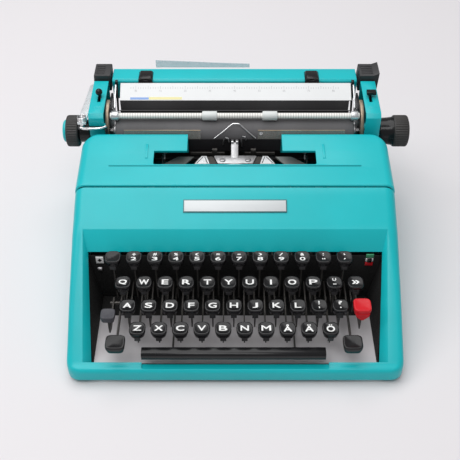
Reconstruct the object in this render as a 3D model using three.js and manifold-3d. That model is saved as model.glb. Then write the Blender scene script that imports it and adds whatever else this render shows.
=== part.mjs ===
// Portable manual typewriter: body shell, keyboard on real key levers, type basket and a sliding carriage.
// Units are millimetres. +X is the typist's right, +Y is away from the typist, +Z is up, the feet stand on z = 0.
import * as THREE from 'three';
import Module from 'manifold-3d';

const wasm = await Module();
wasm.setup();

// ---------------------------------------------------------------- driving dimensions
const KEY_PITCH = 19.05; // sideways distance between two neighbouring keys
const CLEAR = 0.3; // gap between two pieces that touch in the real machine

const BODY = { halfWidth: 151, front: -155, rear: 140, bottom: 4.5, wall: 3, corner: 12 };
const BAR = { top: 18, rear: -146.5 }; // turquoise bar in front of the space bar
const LIP = { topY: -46.7, topZ: 88, bottomY: -60.6, bottomZ: 72 }; // shaded lip over the number row
const SHOULDER = { y: -13.4, z: 104 }; // where the sloped face starts to roll over
const SEAM = { y: -8.7, z: 107.4 }; // joint between housing and ribbon cover
const SIDE_TOP = 84; // height of the housing sides under the cover
const REAR_TOP = 72; // height of the housing sides under the carriage
const WELL = { floor: 12, floorHalf: 127.5, topHalf: 141.5, topZ: 96 }; // keyboard well, wider at the top
const RIM = { frontHalf: 136, rearHalf: 140.3, frontInner: 128.6, rearInner: 136.4, drop: 7 }; // sides of the well

const COVER = {
  rear: 62.5,
  rearZ: 115,
  slotHalf: 46.4,
  slotFront: 37.8,
  wideHalf: 78.5,
  wideFront: 19.5,
  skirtHalf: 128,
  skirtZ: 92,
};

const PIVOT = { y: 50, z: 44, rod: 2, hub: 4 }; // common fulcrum rod of all key levers
const LEVER = { thickness: 1.5, bottom: 27, top: 33 };
const CAP = { width: 14.7, depth: 14.7, height: 7 };

const PLATEN = { y: 84, z: 101.5, radius: 18.5, half: 119.5, shaft: 3 };
const KNOB = { radius: 16, outer: 174, inner: 146.5 };
const END = { inner: 130, outer: 145, front: 70, rear: 127, bottom: 80, top: 131 };
const REAR_BAR = { half: 126.5, front: 127.5, rear: 155, bottom: 111, top: 134 };
const RAIL = { y0: 88, y1: 98, z0: 62, z1: 73.5, half: 137 };
const BAIL = { y: 78.3, z: 124.5, rod: 2.6, roller: 4.6, pivotY: 106, pivotZ: 112 };

// keyboard rows: centre of the caps from front to back; start is the first key, in pitches from the middle
const ROWS = {
  bottom: { y: -128, z: 45, start: -4.5625, count: 10 },
  home: { y: -110, z: 55, start: -5.0625, count: 11 },
  upper: { y: -92, z: 66, start: -5.3125, count: 11 },
  number: { y: -74, z: 80, start: -4.8125, count: 11 },
};
const MARGIN_KEY = -5.8125; // pitches from the middle, in the number row
const BACKSPACE_KEY = 5.6875; // in the upper row
const TABULATOR_KEY = 5.9375; // in the home row
const LOCK_KEY = -5.9375; // just in front of the home row
const SHIFT_LEFT = -5.5625;
const SHIFT_RIGHT = 5.4375;

// ---------------------------------------------------------------- materials
const material = (name, color, roughness, metalness = 0) => {
  const m = new THREE.MeshStandardMaterial({ color, roughness, metalness });
  m.name = name;
  return m;
};
const turquoise = material('turquoise_enamel', 0x2ac1c6, 0.4);
const blackPlastic = material('black_plastic', 0x222226, 0.5);
const redPlastic = material('red_plastic', 0xd0202c, 0.45);
const greyPlastic = material('grey_plastic', 0x96918f, 0.6);
const darkSteel = material('dark_steel', 0x4a4a4e, 0.5, 0.7);
const brightSteel = material('bright_steel', 0xc6c6c8, 0.3, 0.9);
const rubber = material('black_rubber', 0x2c2b2d, 0.8);
const whiteEnamel = material('white_enamel', 0xe8ecec, 0.4);

// ---------------------------------------------------------------- solid helpers
const solid = (geometry) => {
  const g = geometry.clone();
  g.deleteAttribute('normal');
  g.deleteAttribute('uv');
  const merged = mergeByPosition(g);
  return new wasm.Manifold(new wasm.Mesh({ numProp: 3, vertProperties: merged.points, triVerts: merged.faces }));
};

function mergeByPosition(geometry) {
  const position = geometry.attributes.position;
  const index = geometry.index ? Array.from(geometry.index.array) : [...Array(position.count).keys()];
  const seen = new Map();
  const points = [];
  const remap = [];
  for (let i = 0; i < position.count; i += 1) {
    const p = [position.getX(i), position.getY(i), position.getZ(i)];
    const key = p.map((v) => Math.round(v * 1e4)).join(',');
    if (!seen.has(key)) {
      seen.set(key, points.length / 3);
      points.push(...p);
    }
    remap.push(seen.get(key));
  }
  const faces = [];
  for (let i = 0; i < index.length; i += 3) {
    const [a, b, c] = [remap[index[i]], remap[index[i + 1]], remap[index[i + 2]]];
    if (a !== b && b !== c && a !== c) faces.push(a, b, c);
  }
  return { points: new Float32Array(points), faces: new Uint32Array(faces) };
}

const join = (first, ...rest) => rest.reduce((sum, s) => sum.add(s), first);
const cut = (first, ...rest) => rest.reduce((left, s) => left.subtract(s), first);

const box = (x0, x1, y0, y1, z0, z1) => {
  const g = new THREE.BoxGeometry(x1 - x0, y1 - y0, z1 - z0);
  g.translate((x0 + x1) / 2, (y0 + y1) / 2, (z0 + z1) / 2);
  return solid(g);
};

const hullOf = (points) => wasm.Manifold.hull(points);

const outline = (points) => new THREE.Shape(points.map(([a, b]) => new THREE.Vector2(a, b)));

// an outline drawn in the side view (y, z) and carried from x0 to x1
const alongX = (points, x0, x1) => {
  const g = new THREE.ExtrudeGeometry(outline(points), { depth: x1 - x0, bevelEnabled: false });
  const basis = new THREE.Matrix4().makeBasis(
    new THREE.Vector3(0, 1, 0),
    new THREE.Vector3(0, 0, 1),
    new THREE.Vector3(1, 0, 0),
  );
  g.applyMatrix4(basis);
  g.translate(x0, 0, 0);
  return solid(g);
};

// an outline drawn in the front view (x, z) and carried from y0 to y1
const alongY = (points, y0, y1) => {
  const g = new THREE.ExtrudeGeometry(outline(points), { depth: y1 - y0, bevelEnabled: false });
  g.rotateX(Math.PI / 2);
  g.translate(0, y1, 0);
  return solid(g);
};

// an outline drawn in the plan view (x, y) and carried from z0 to z1
const alongZ = (points, z0, z1) => {
  const g = new THREE.ExtrudeGeometry(outline(points), { depth: z1 - z0, bevelEnabled: false });
  g.translate(0, 0, z0);
  return solid(g);
};

const roundedRect = (x0, x1, y0, y1, radius, steps = 4) => {
  const corners = [
    [x1 - radius, y1 - radius, 0],
    [x0 + radius, y1 - radius, 90],
    [x0 + radius, y0 + radius, 180],
    [x1 - radius, y0 + radius, 270],
  ];
  const points = [];
  for (const [cx, cy, start] of corners) {
    for (let i = 0; i <= steps; i += 1) {
      const angle = THREE.MathUtils.degToRad(start + (90 * i) / steps);
      points.push([cx + radius * Math.cos(angle), cy + radius * Math.sin(angle)]);
    }
  }
  return points;
};

// a round bar along X around the line (y, z)
const rodX = (x0, x1, y, z, radius, sides = 16) => {
  const g = new THREE.CylinderGeometry(radius, radius, x1 - x0, sides);
  g.rotateZ(-Math.PI / 2);
  g.translate((x0 + x1) / 2, y, z);
  return solid(g);
};

// a round bar along Z around the line (x, y)
const rodZ = (x, y, z0, z1, radius, sides = 16) => {
  const g = new THREE.CylinderGeometry(radius, radius, z1 - z0, sides);
  g.rotateX(Math.PI / 2);
  g.translate(x, y, (z0 + z1) / 2);
  return solid(g);
};

// moves every side of an outline inwards by the wall thickness
const inset = (points, wall) => {
  const line = (a, b) => {
    const dx = b[0] - a[0];
    const dy = b[1] - a[1];
    const length = Math.hypot(dx, dy);
    return { x: a[0] - (dy / length) * wall, y: a[1] + (dx / length) * wall, dx: dx / length, dy: dy / length };
  };
  return points.map((p, i) => {
    const before = line(points[(i + points.length - 1) % points.length], p);
    const after = line(p, points[(i + 1) % points.length]);
    const cross = before.dx * after.dy - before.dy * after.dx;
    const t = ((after.x - before.x) * after.dy - (after.y - before.y) * after.dx) / cross;
    return [before.x + before.dx * t, before.y + before.dy * t];
  });
};

const group = new THREE.Group();
group.name = 'typewriter';

const place = (name, body, mat) => {
  const data = body.getMesh();
  const g = new THREE.BufferGeometry();
  g.setAttribute('position', new THREE.BufferAttribute(new Float32Array(data.vertProperties), 3));
  g.setIndex(new THREE.BufferAttribute(new Uint32Array(data.triVerts), 1));
  g.computeVertexNormals();
  const mesh = new THREE.Mesh(g, mat);
  mesh.name = name;
  group.add(mesh);
};

// ---------------------------------------------------------------- body shell
// side view of the housing, anticlockwise from the lower front corner
const housingProfile = [
  [BODY.rear, BODY.bottom],
  [BODY.rear, REAR_TOP],
  [COVER.rear + CLEAR, REAR_TOP],
  [COVER.rear + CLEAR, SIDE_TOP],
  [SEAM.y, SIDE_TOP],
  [SEAM.y, SEAM.z],
  [SHOULDER.y, SHOULDER.z],
  [LIP.topY, LIP.topZ],
  [BAR.rear - 2, BAR.top],
  [BODY.front + 3, BAR.top - 0.5],
  [BODY.front, BAR.top - 4],
  [BODY.front, BODY.bottom],
];

const planInside = (margin) =>
  roundedRect(
    -BODY.halfWidth + margin,
    BODY.halfWidth - margin,
    BODY.front + margin,
    BODY.rear - margin,
    BODY.corner - margin,
  );

// section of the flange that folds down into the well at one side, at depth y where the side stands at height z
const rimSection = (sign, y, z, outer, inner) => [
  [sign * (outer + 2.2), y, z - 0.2],
  [sign * outer, y, z - 0.1],
  [sign * inner, y, z - RIM.drop],
  [sign * (inner + 1.4), y, z - RIM.drop - 1.4],
  [sign * (outer + 2.2), y, z - 3],
];

function bodyHousing() {
  const outer = alongX(housingProfile, -160, 160).intersect(alongZ(planInside(0), 0, 200));
  const cavityProfile = inset(housingProfile, BODY.wall).map(([y, z]) => [y, z < BODY.bottom + 4 ? -5 : z]);
  const cavity = alongX(cavityProfile, -160, 160).intersect(alongZ(planInside(BODY.wall), -10, 200));
  const wellSides = alongY(
    [
      [-RIM.frontHalf + 1, 0],
      [RIM.frontHalf - 1, 0],
      [RIM.rearHalf + 0.6, 100],
      [-RIM.rearHalf - 0.6, 100],
    ],
    BODY.front,
    0,
  );
  const wellSide = alongX(
    [
      [BAR.rear, -5],
      [-58.2, -5],
      [-58.2, LIP.bottomZ - 2],
      [LIP.bottomY, LIP.bottomZ],
      [LIP.topY, LIP.topZ],
      [LIP.topY, 99],
      [BAR.rear, 99],
    ],
    -160,
    160,
  );
  const well = wellSides.intersect(wellSide);
  const lip = alongX(
    [
      [LIP.bottomY, LIP.bottomZ],
      [LIP.bottomY + 2.4, LIP.bottomZ - 2],
      [LIP.topY + 5, LIP.topZ - 1.6],
      [LIP.topY + 7, LIP.topZ + 3.3],
      [LIP.topY, LIP.topZ],
    ],
    -WELL.topHalf - 1,
    WELL.topHalf + 1,
  );
  const flanges = [-1, 1].map((sign) => hullOf([
    ...rimSection(sign, BAR.rear - 1, BAR.top, RIM.frontHalf, RIM.frontInner),
    ...rimSection(sign, LIP.topY + 1, LIP.topZ, RIM.rearHalf, RIM.rearInner),
  ]));
  const basketOpening = box(-138, 138, SEAM.y + 0.1, BODY.rear - 6, 40, 120);
  const barRecess = box(-83.5, 83.5, BODY.front + 2.2, BAR.rear + 1, BAR.top - 1.6, BAR.top + 2);
  return join(cut(outer, cavity, well, barRecess), lip.intersect(outer), ...flanges).subtract(basketOpening);
}
place('body_housing', bodyHousing(), turquoise);

// cover over the ribbon and type basket, open to the rear in a T shape
function ribbonCover() {
  const front = SEAM.y + CLEAR;
  const side = [
    [COVER.rear, SIDE_TOP + CLEAR],
    [COVER.rear, COVER.rearZ - 2],
    [COVER.rear - 2, COVER.rearZ],
    [front + 3, SEAM.z + 1.6],
    [front, SEAM.z],
    [front, SIDE_TOP + CLEAR],
  ];
  const section = (margin) => [
    [-BODY.halfWidth + margin, 60],
    [BODY.halfWidth - margin, 60],
    [BODY.halfWidth - margin, 103 - margin],
    [BODY.halfWidth - 2 - margin, 109 - margin],
    [BODY.halfWidth - 8 - margin, 130],
    [-BODY.halfWidth + 8 + margin, 130],
    [-BODY.halfWidth + 2 + margin, 109 - margin],
    [-BODY.halfWidth + margin, 103 - margin],
  ];
  const plan = (margin) => roundedRect(
    -BODY.halfWidth + margin,
    BODY.halfWidth - margin,
    -60,
    COVER.rear - margin,
    14 - margin,
  );
  const outer = alongX(side, -160, 160)
    .intersect(alongY(section(0), -100, 100))
    .intersect(alongZ(plan(0), 0, 200));
  const hollow = alongX(
    [
      [COVER.rear - 2.6, 20],
      [COVER.rear - 2.6, COVER.rearZ - 4.6],
      [front + 3, SEAM.z - 1.2],
      [-60, SEAM.z - 1.2],
      [-60, 20],
    ],
    -160,
    160,
  )
    .intersect(alongY(section(2.6), -100, 100))
    .intersect(alongZ(plan(2.6), 0, 200));
  const slot = box(-COVER.slotHalf, COVER.slotHalf, COVER.slotFront - 1, 80, 0, 200);
  const wide = box(-COVER.wideHalf, COVER.wideHalf, COVER.wideFront, COVER.slotFront, 90, 200);
  // the rear skirt is short between the sides, so it swings clear of the platen
  const skirt = box(-COVER.skirtHalf, COVER.skirtHalf, 50, 80, 0, COVER.skirtZ);
  return cut(outer, hollow, slot, wide, skirt);
}
place('ribbon_cover', ribbonCover(), turquoise);

// sheet-metal tray that closes the bottom, with a low rim inside the housing walls
function basePan() {
  const rim = BODY.wall + CLEAR;
  const tray = alongZ(planInside(rim), BODY.bottom, 9).intersect(
    box(-160, 160, BAR.rear + 2, 160, 0, 20),
  );
  const inside = alongZ(planInside(rim + 1.5), BODY.bottom + 1.5, 20).intersect(
    box(-160, 160, BAR.rear + 3.5, 160, 0, 20),
  );
  return cut(tray, inside);
}
place('base_pan', basePan(), darkSteel);

// grey floor of the keyboard well with its dark inclined side cheeks
function keyboardDeck() {
  const front = BAR.rear + 0.6;
  const floor = box(-WELL.floorHalf, WELL.floorHalf, front + 4, -20, WELL.floor - 1.5, WELL.floor);
  const lean = (WELL.topHalf - WELL.floorHalf) / (WELL.topZ - WELL.floor);
  const cheek = (sign) => {
    const x = (z, offset) => sign * (WELL.floorHalf - 1.5 + offset + lean * (z - WELL.floor));
    const points = [
      [x(WELL.floor - 1.5, 0), WELL.floor - 1.5],
      [x(WELL.floor - 1.5, 1.4), WELL.floor - 1.5],
      [x(WELL.topZ, 1.4), WELL.topZ],
      [x(WELL.topZ, 0), WELL.topZ],
    ];
    const underSkin = alongX(
      [
        [front + 5, 0],
        [-61.5, 0],
        [-61.5, 68.5],
        [front + 5, 12.8],
      ],
      -160,
      160,
    );
    return alongY(sign > 0 ? points : points.reverse(), -150, -50).intersect(underSkin);
  };
  return join(floor, cheek(1), cheek(-1));
}
place('keyboard_deck', keyboardDeck(), greyPlastic);

const FOOT = { x: 128, front: -128, rear: 118, radius: 9 };
[
  ['foot_front_left', -1, FOOT.front],
  ['foot_front_right', 1, FOOT.front],
  ['foot_rear_left', -1, FOOT.rear],
  ['foot_rear_right', 1, FOOT.rear],
].forEach(([name, side, y]) => {
  const pad = rodZ(side * FOOT.x, y, 0, BODY.bottom - CLEAR, FOOT.radius, 16);
  const screwHole = rodZ(side * FOOT.x, y, -1, 1.5, 3, 12);
  place(name, cut(pad, screwHole), rubber);
});

// ---------------------------------------------------------------- keyboard
const keyX = (pitches) => pitches * KEY_PITCH;

// a cap with generously rounded corners
function keyCap(x, y, z, width = CAP.width, depth = CAP.depth, height = CAP.height) {
  const corner = Math.min(width, depth) * 0.36;
  const rim = roundedRect(x - width / 2, x + width / 2, y - depth / 2, y + depth / 2, corner, 2);
  return alongZ(rim, z - height, z);
}

// side view of a lever: hub around the fulcrum, a bar forward, and a stem up to the cap
function leverOutline(y, z, tail) {
  const hub = [];
  for (let i = 0; i <= 6; i += 1) {
    const angle = THREE.MathUtils.degToRad(120 - 40 * i);
    hub.push([PIVOT.y + PIVOT.hub * Math.cos(angle), PIVOT.z + PIVOT.hub * Math.sin(angle)]);
  }
  const stemHalf = 2.5;
  return [
    ...(tail ? [] : hub),
    [-30, LEVER.bottom],
    [y - stemHalf, LEVER.bottom],
    [y - stemHalf, z - 3],
    [y + stemHalf, z - 3],
    [y + stemHalf + 1.5, LEVER.top],
    [-30, LEVER.top],
  ];
}

function keyLever(x, y, z) {
  const half = LEVER.thickness / 2;
  const plate = alongX(leverOutline(y, z, false).reverse(), x - half, x + half);
  const bore = rodX(x - 5, x + 5, PIVOT.y, PIVOT.z, PIVOT.rod + CLEAR, 12);
  return cut(plate, bore);
}

const key = (pitches, row) => join(keyLever(keyX(pitches), row.y, row.z), keyCap(keyX(pitches), row.y, row.z));

const range = (row) => [...Array(row.count).keys()].map((i) => row.start + i);

// the tail strip that ties a row of levers together behind the fulcrum
function comb(row, tieZ) {
  const keys = range(row).map((pitches) => key(pitches, row));
  const tails = range(row).map((pitches) => {
    const x = keyX(pitches);
    return box(
      x - LEVER.thickness / 2,
      x + LEVER.thickness / 2,
      PIVOT.y + PIVOT.rod + 0.8,
      PIVOT.y + 9,
      Math.min(tieZ, PIVOT.z - 1),
      Math.max(tieZ + 2.5, PIVOT.z + 1),
    );
  });
  const first = keyX(row.start) - 0.75;
  const last = keyX(row.start + row.count - 1) + 0.75;
  const tie = box(first, last, PIVOT.y + 6.5, PIVOT.y + 9, tieZ, tieZ + 2.5);
  return join(tie, ...tails, ...keys);
}

place('number_row_keys', comb(ROWS.number, PIVOT.z + 2.5), blackPlastic);
place('bottom_row_keys', comb(ROWS.bottom, PIVOT.z - 5), blackPlastic);
place('margin_key', key(MARGIN_KEY, ROWS.number), blackPlastic);
place('backspace_key', key(BACKSPACE_KEY, ROWS.upper), blackPlastic);

const UPPER_NAMES = ['q', 'w', 'e', 'r', 't', 'y', 'u', 'i', 'o', 'p', 'accent'];
const HOME_NAMES = ['a', 's', 'd', 'f', 'g', 'h', 'j', 'k', 'l', 'exclamation', 'question'];
UPPER_NAMES.forEach((name, i) => place(`key_${name}`, key(ROWS.upper.start + i, ROWS.upper), blackPlastic));
HOME_NAMES.forEach((name, i) => place(`key_${name}`, key(ROWS.home.start + i, ROWS.home), blackPlastic));

const TAB = { y: -112, z: 58, width: 15.8 };
place(
  'tabulator_key',
  join(
    keyLever(keyX(TABULATOR_KEY), TAB.y, TAB.z),
    keyCap(keyX(TABULATOR_KEY), TAB.y, TAB.z, TAB.width, TAB.width, 8),
  ),
  redPlastic,
);

// both shift keys belong to one frame: two levers tied by a bar behind the fulcrum
const SHIFT = { y: -139.5, z: 40, width: 17.5, depth: 16, tieY: PIVOT.y + 13 };
const LOCK = { y: -119, z: 54, width: 13, depth: 12, pinY: -86, pinZ: 30, pin: 1.8 };
function shiftFrame() {
  const side = (pitches) => {
    const x = keyX(pitches);
    const arm = box(x - 0.75, x + 0.75, PIVOT.y + 3, SHIFT.tieY + 3, PIVOT.z - 1.5, PIVOT.z + 1.5);
    return join(
      keyLever(x, SHIFT.y, SHIFT.z),
      arm,
      keyCap(x, SHIFT.y, SHIFT.z, SHIFT.width, SHIFT.depth, 8),
    );
  };
  const left = keyX(SHIFT_LEFT);
  const right = keyX(SHIFT_RIGHT);
  const tie = box(left - 0.75, right + 0.75, SHIFT.tieY, SHIFT.tieY + 3, PIVOT.z - 1.5, PIVOT.z + 1.5);
  const lockPin = rodX(keyX(LOCK_KEY) - 3, left, LOCK.pinY, LOCK.pinZ, LOCK.pin, 10);
  return join(side(SHIFT_LEFT), side(SHIFT_RIGHT), tie, lockPin);
}
place('shift_keys', shiftFrame(), blackPlastic);

// the lock rides on the left shift lever and rocks on its own pin
function shiftLock() {
  const x = keyX(LOCK_KEY);
  const plate = alongX(
    [
      [LOCK.y - 2.5, 30],
      [LOCK.y + 6, 26.5],
      [LOCK.pinY + 4, 26.5],
      [LOCK.pinY + 4, 33.5],
      [LOCK.y + 5, 33.5],
      [LOCK.y + 2.5, 51],
      [LOCK.y - 2.5, 51],
    ],
    x - 0.75,
    x + 0.75,
  );
  const bore = rodX(x - 5, x + 5, LOCK.pinY, LOCK.pinZ, LOCK.pin + CLEAR, 12);
  return join(cut(plate, bore), keyCap(x, LOCK.y, LOCK.z, LOCK.width, LOCK.depth, 7));
}
place('shift_lock_key', shiftLock(), blackPlastic);

const SPACE = {
  left: -83.3,
  right: 80.2,
  front: -148,
  rear: -138,
  bottom: 25,
  top: 32,
  armLeft: -55.94,
  armRight: 53.58,
  armTop: 24.8, // low enough to pass under the bottom row's caps when they are pressed
};
function spaceBar() {
  const bar = alongX(
    [
      [SPACE.rear, SPACE.bottom],
      [SPACE.rear, SPACE.top - 0.6],
      [SPACE.front + 1.5, SPACE.top],
      [SPACE.front, SPACE.top - 2],
      [SPACE.front, SPACE.bottom],
    ],
    SPACE.left,
    SPACE.right,
  );
  const arm = (x) => {
    const plate = alongX(
      [
        [SPACE.rear - 3, 20.5],
        [-60, 20.5],
        [PIVOT.y + 3, PIVOT.z - 4],
        [PIVOT.y + 4, PIVOT.z],
        [PIVOT.y + 3, PIVOT.z + 4],
        [PIVOT.y - 4, PIVOT.z + 3],
        [-60, SPACE.armTop],
        [SPACE.rear + 3.5, SPACE.armTop],
        [SPACE.rear + 1.5, 26.5],
        [SPACE.rear - 3, 26.5],
      ],
      x - 0.75,
      x + 0.75,
    );
    return cut(plate, rodX(x - 2, x + 2, PIVOT.y, PIVOT.z, PIVOT.rod + CLEAR, 12));
  };
  return join(bar, arm(SPACE.armLeft), arm(SPACE.armRight));
}
place('space_bar', spaceBar(), blackPlastic);

// steel rod every lever turns on, held by two posts that stand on the base pan
function fulcrumRod() {
  const rod = rodX(-122, 122, PIVOT.y, PIVOT.z, PIVOT.rod, 12);
  const post = (x) => box(x - 1.5, x + 1.5, PIVOT.y - 6, PIVOT.y + 6, BODY.bottom + 1.8, PIVOT.z + 5);
  return join(rod, post(-120.5), post(120.5));
}
place('key_fulcrum', fulcrumRod(), darkSteel);

// ---------------------------------------------------------------- type basket
const SEGMENT = { y0: 36, y1: 46, radius: 34, z: 66, top: 97 };
const halfDisc = (radius, steps, centreZ) => {
  const points = [];
  for (let i = 0; i <= steps; i += 1) {
    const angle = Math.PI + (Math.PI * i) / steps;
    points.push([radius * Math.cos(angle), centreZ + radius * Math.sin(angle)]);
  }
  return points;
};

// slotted half-round segment with the type guide standing above it
function typeSegment() {
  const disc = alongY(
    [...halfDisc(SEGMENT.radius, 16, SEGMENT.top - 6), [21.5, SEGMENT.top], [-21.5, SEGMENT.top]],
    SEGMENT.y0,
    SEGMENT.y1,
  );
  const foot = box(-30, 30, SEGMENT.y0 + 1, SEGMENT.y1 - 1, 53, 63);
  const guide = alongX(
    [
      [SEGMENT.y1 - 4, SEGMENT.top - 4],
      [SEGMENT.y1, SEGMENT.top - 4],
      [62.3, 102.5],
      [62.3, 105],
      [60, 105],
    ],
    -3.4,
    3.4,
  );
  return join(disc, foot, guide);
}
place('type_segment', typeSegment(), brightSteel);

// the resting typebars: they fan out forwards and sideways from the segment to the type slugs
function typebars() {
  const count = 15;
  const innerRadius = 37;
  const outerRadius = 66;
  const centreZ = SEGMENT.top - 2;
  const bars = [];
  const ring = [];
  for (let i = 0; i < count; i += 1) {
    const angle = THREE.MathUtils.degToRad(186 + (168 * i) / (count - 1));
    ring.push(angle);
    const length = outerRadius - innerRadius;
    const g = new THREE.BoxGeometry(length, 2, 1.4);
    g.translate(innerRadius + length / 2, 0, 0);
    const slug = new THREE.BoxGeometry(5, 7, 3);
    slug.translate(outerRadius - 1, 0, 0);
    [g, slug].forEach((piece) => {
      piece.rotateY(-angle);
      piece.translate(0, 24, centreZ);
      bars.push(solid(piece));
    });
  }
  const band = [];
  for (let i = 0; i <= 24; i += 1) {
    const a = THREE.MathUtils.degToRad(184 + (172 * i) / 24);
    band.push([(innerRadius + 1) * Math.cos(a), centreZ + (innerRadius + 1) * Math.sin(a)]);
  }
  for (let i = 24; i >= 0; i -= 1) {
    const a = THREE.MathUtils.degToRad(184 + (172 * i) / 24);
    band.push([(innerRadius + 4) * Math.cos(a), centreZ + (innerRadius + 4) * Math.sin(a)]);
  }
  return join(alongY(band, 22, 26), ...bars).intersect(box(-80, 80, 0, 60, 54.5, 108));
}
place('typebar_basket', typebars(), brightSteel);

// ribbon spools lie flat under the ends of the cover
const SPOOL = { x: 102, y: 18, z0: 86, z1: 100, radius: 24 };
function ribbonSpool(side) {
  const flange = (z) => rodZ(side * SPOOL.x, SPOOL.y, z, z + 1, SPOOL.radius, 20);
  const core = rodZ(side * SPOOL.x, SPOOL.y, SPOOL.z0, SPOOL.z1, 17, 20);
  const bore = rodZ(side * SPOOL.x, SPOOL.y, SPOOL.z0 - 1, SPOOL.z1 + 1, 3.5, 12);
  return cut(join(flange(SPOOL.z0), flange(SPOOL.z1 - 1), core), bore);
}
place('ribbon_spool_left', ribbonSpool(-1), darkSteel);
place('ribbon_spool_right', ribbonSpool(1), darkSteel);

// ---------------------------------------------------------------- carriage
// fixed rail across the back, on two legs that stand on the base pan
function carriageRail() {
  const rail = box(-RAIL.half, RAIL.half, RAIL.y0, RAIL.y1, RAIL.z0, RAIL.z1);
  const leg = (x) => box(x - 4, x + 4, RAIL.y0 + 1, RAIL.y1 - 1, BODY.bottom + 1.8, RAIL.z0 + 1);
  return join(rail, leg(-132), leg(132));
}
place('carriage_rail', carriageRail(), brightSteel);

// tray under the platen: two shoes grip the rail, two end walls carry the platen shaft
const RETURN = { x: -151, y: 69.6, z0: 122, z1: 125, tipY: 134, standTop: 118 };
const FRAME = { half: 128.6, front: 67, rear: 126, z0: 76, z1: 78.5, wallTop: 119 };
function carriageFrame() {
  const floor = box(-FRAME.half, FRAME.half, FRAME.front, FRAME.rear, FRAME.z0, FRAME.z1);
  const wall = (side) => {
    const x0 = Math.min(side * (FRAME.half - 2), side * FRAME.half);
    return alongX(
      [
        [FRAME.front, FRAME.z0],
        [FRAME.rear, FRAME.z0],
        [FRAME.rear, FRAME.wallTop],
        [FRAME.front + 18, FRAME.wallTop],
        [FRAME.front, FRAME.z1 + 22],
      ],
      x0,
      x0 + 2,
    );
  };
  const shoe = (x) => join(
    box(x - 9, x + 9, RAIL.y0 - 3, RAIL.y0 - CLEAR, RAIL.z0 + 3, FRAME.z0 + 1),
    box(x - 9, x + 9, RAIL.y1 + CLEAR, RAIL.y1 + 3, RAIL.z0 + 3, FRAME.z0 + 1),
  );
  // strap in front of the left end cover that the return lever stands on
  const strap = join(
    box(RETURN.x - 5, -FRAME.half + 2, FRAME.front, END.front - CLEAR, RETURN.standTop - 2, RETURN.standTop),
    box(RETURN.x - 5, RETURN.x + 5, FRAME.front, RETURN.y + 4, RETURN.standTop - 2, RETURN.standTop),
    box(-FRAME.half, -FRAME.half + 2, FRAME.front, END.front - CLEAR, FRAME.z1 + 18, RETURN.standTop),
  );
  const shaftBore = rodX(-150, 150, PLATEN.y, PLATEN.z, PLATEN.shaft + CLEAR, 16);
  return cut(join(floor, wall(1), wall(-1), shoe(-24), shoe(24), strap), shaftBore);
}
place('carriage_frame', carriageFrame(), darkSteel);

// turquoise end covers of the carriage, hollow and open towards the platen and below
function endCover(side) {
  const x = (a, b) => [Math.min(side * a, side * b), Math.max(side * a, side * b)];
  const profile = [
    [END.rear, END.bottom],
    [END.rear, END.top + 2],
    [END.front + 4, END.top],
    [END.front, END.top - 4],
    [END.front, END.bottom + 8],
    [END.front + 8, END.bottom],
  ];
  const [o0, o1] = x(END.inner, END.outer);
  const [i0, i1] = x(END.inner - 5, END.outer - 2);
  const outer = alongX(profile, o0, o1);
  const inner = alongX(inset(profile, 2), i0, i1);
  const open = alongX(
    [
      [END.front + 10, END.bottom - 5],
      [END.rear - 2, END.bottom - 5],
      [END.rear - 2, END.bottom + 5],
      [END.front + 10, END.bottom + 5],
    ],
    i0,
    i1,
  );
  const bore = rodX(-150, 150, PLATEN.y, PLATEN.z, 7, 20);
  return cut(outer, inner, open, bore);
}

// small levers that come up through slots in the end covers
const SLOT = { y0: 92, y1: 112 };
const PAPER_RELEASE = { x: 137, y: 101, z: 110 };
const LINE_SPACE = { x: -136.5, y: 100, z: 110 };
const leverSlot = (x, half) => box(x - half, x + half, SLOT.y0, SLOT.y1, END.top - 6, END.top + 6);
place('end_cover_left', cut(endCover(-1), leverSlot(LINE_SPACE.x, 1.6)), turquoise);
place('end_cover_right', cut(endCover(1), leverSlot(PAPER_RELEASE.x, 1.6)), turquoise);

function platenRoller() {
  const roller = rodX(-PLATEN.half, PLATEN.half, PLATEN.y, PLATEN.z, PLATEN.radius, 40);
  const shaft = rodX(-KNOB.inner - 6, KNOB.inner + 6, PLATEN.y, PLATEN.z, PLATEN.shaft, 16);
  return join(roller, shaft);
}
place('platen', platenRoller(), rubber);

function knob(side, hubRadius) {
  const [a, b] = side > 0 ? [KNOB.inner, KNOB.inner + 7] : [-KNOB.inner - 7, -KNOB.inner];
  const [c, d] = side > 0 ? [KNOB.inner + 6, KNOB.outer] : [-KNOB.outer, -KNOB.inner - 6];
  const hub = rodX(a, b, PLATEN.y, PLATEN.z, hubRadius, 24);
  const grip = rodX(c, d, PLATEN.y, PLATEN.z, KNOB.radius, 32);
  const socketLength = side > 0 ? [KNOB.inner - 1, KNOB.inner + 6.3] : [-KNOB.inner - 6.3, -KNOB.inner + 1];
  const socket = rodX(...socketLength, PLATEN.y, PLATEN.z, PLATEN.shaft + CLEAR, 16);
  return cut(join(hub, grip), socket);
}
place('platen_knob_left', knob(-1, 11.5), blackPlastic);
place('platen_knob_right', knob(1, 14), blackPlastic);

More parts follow.
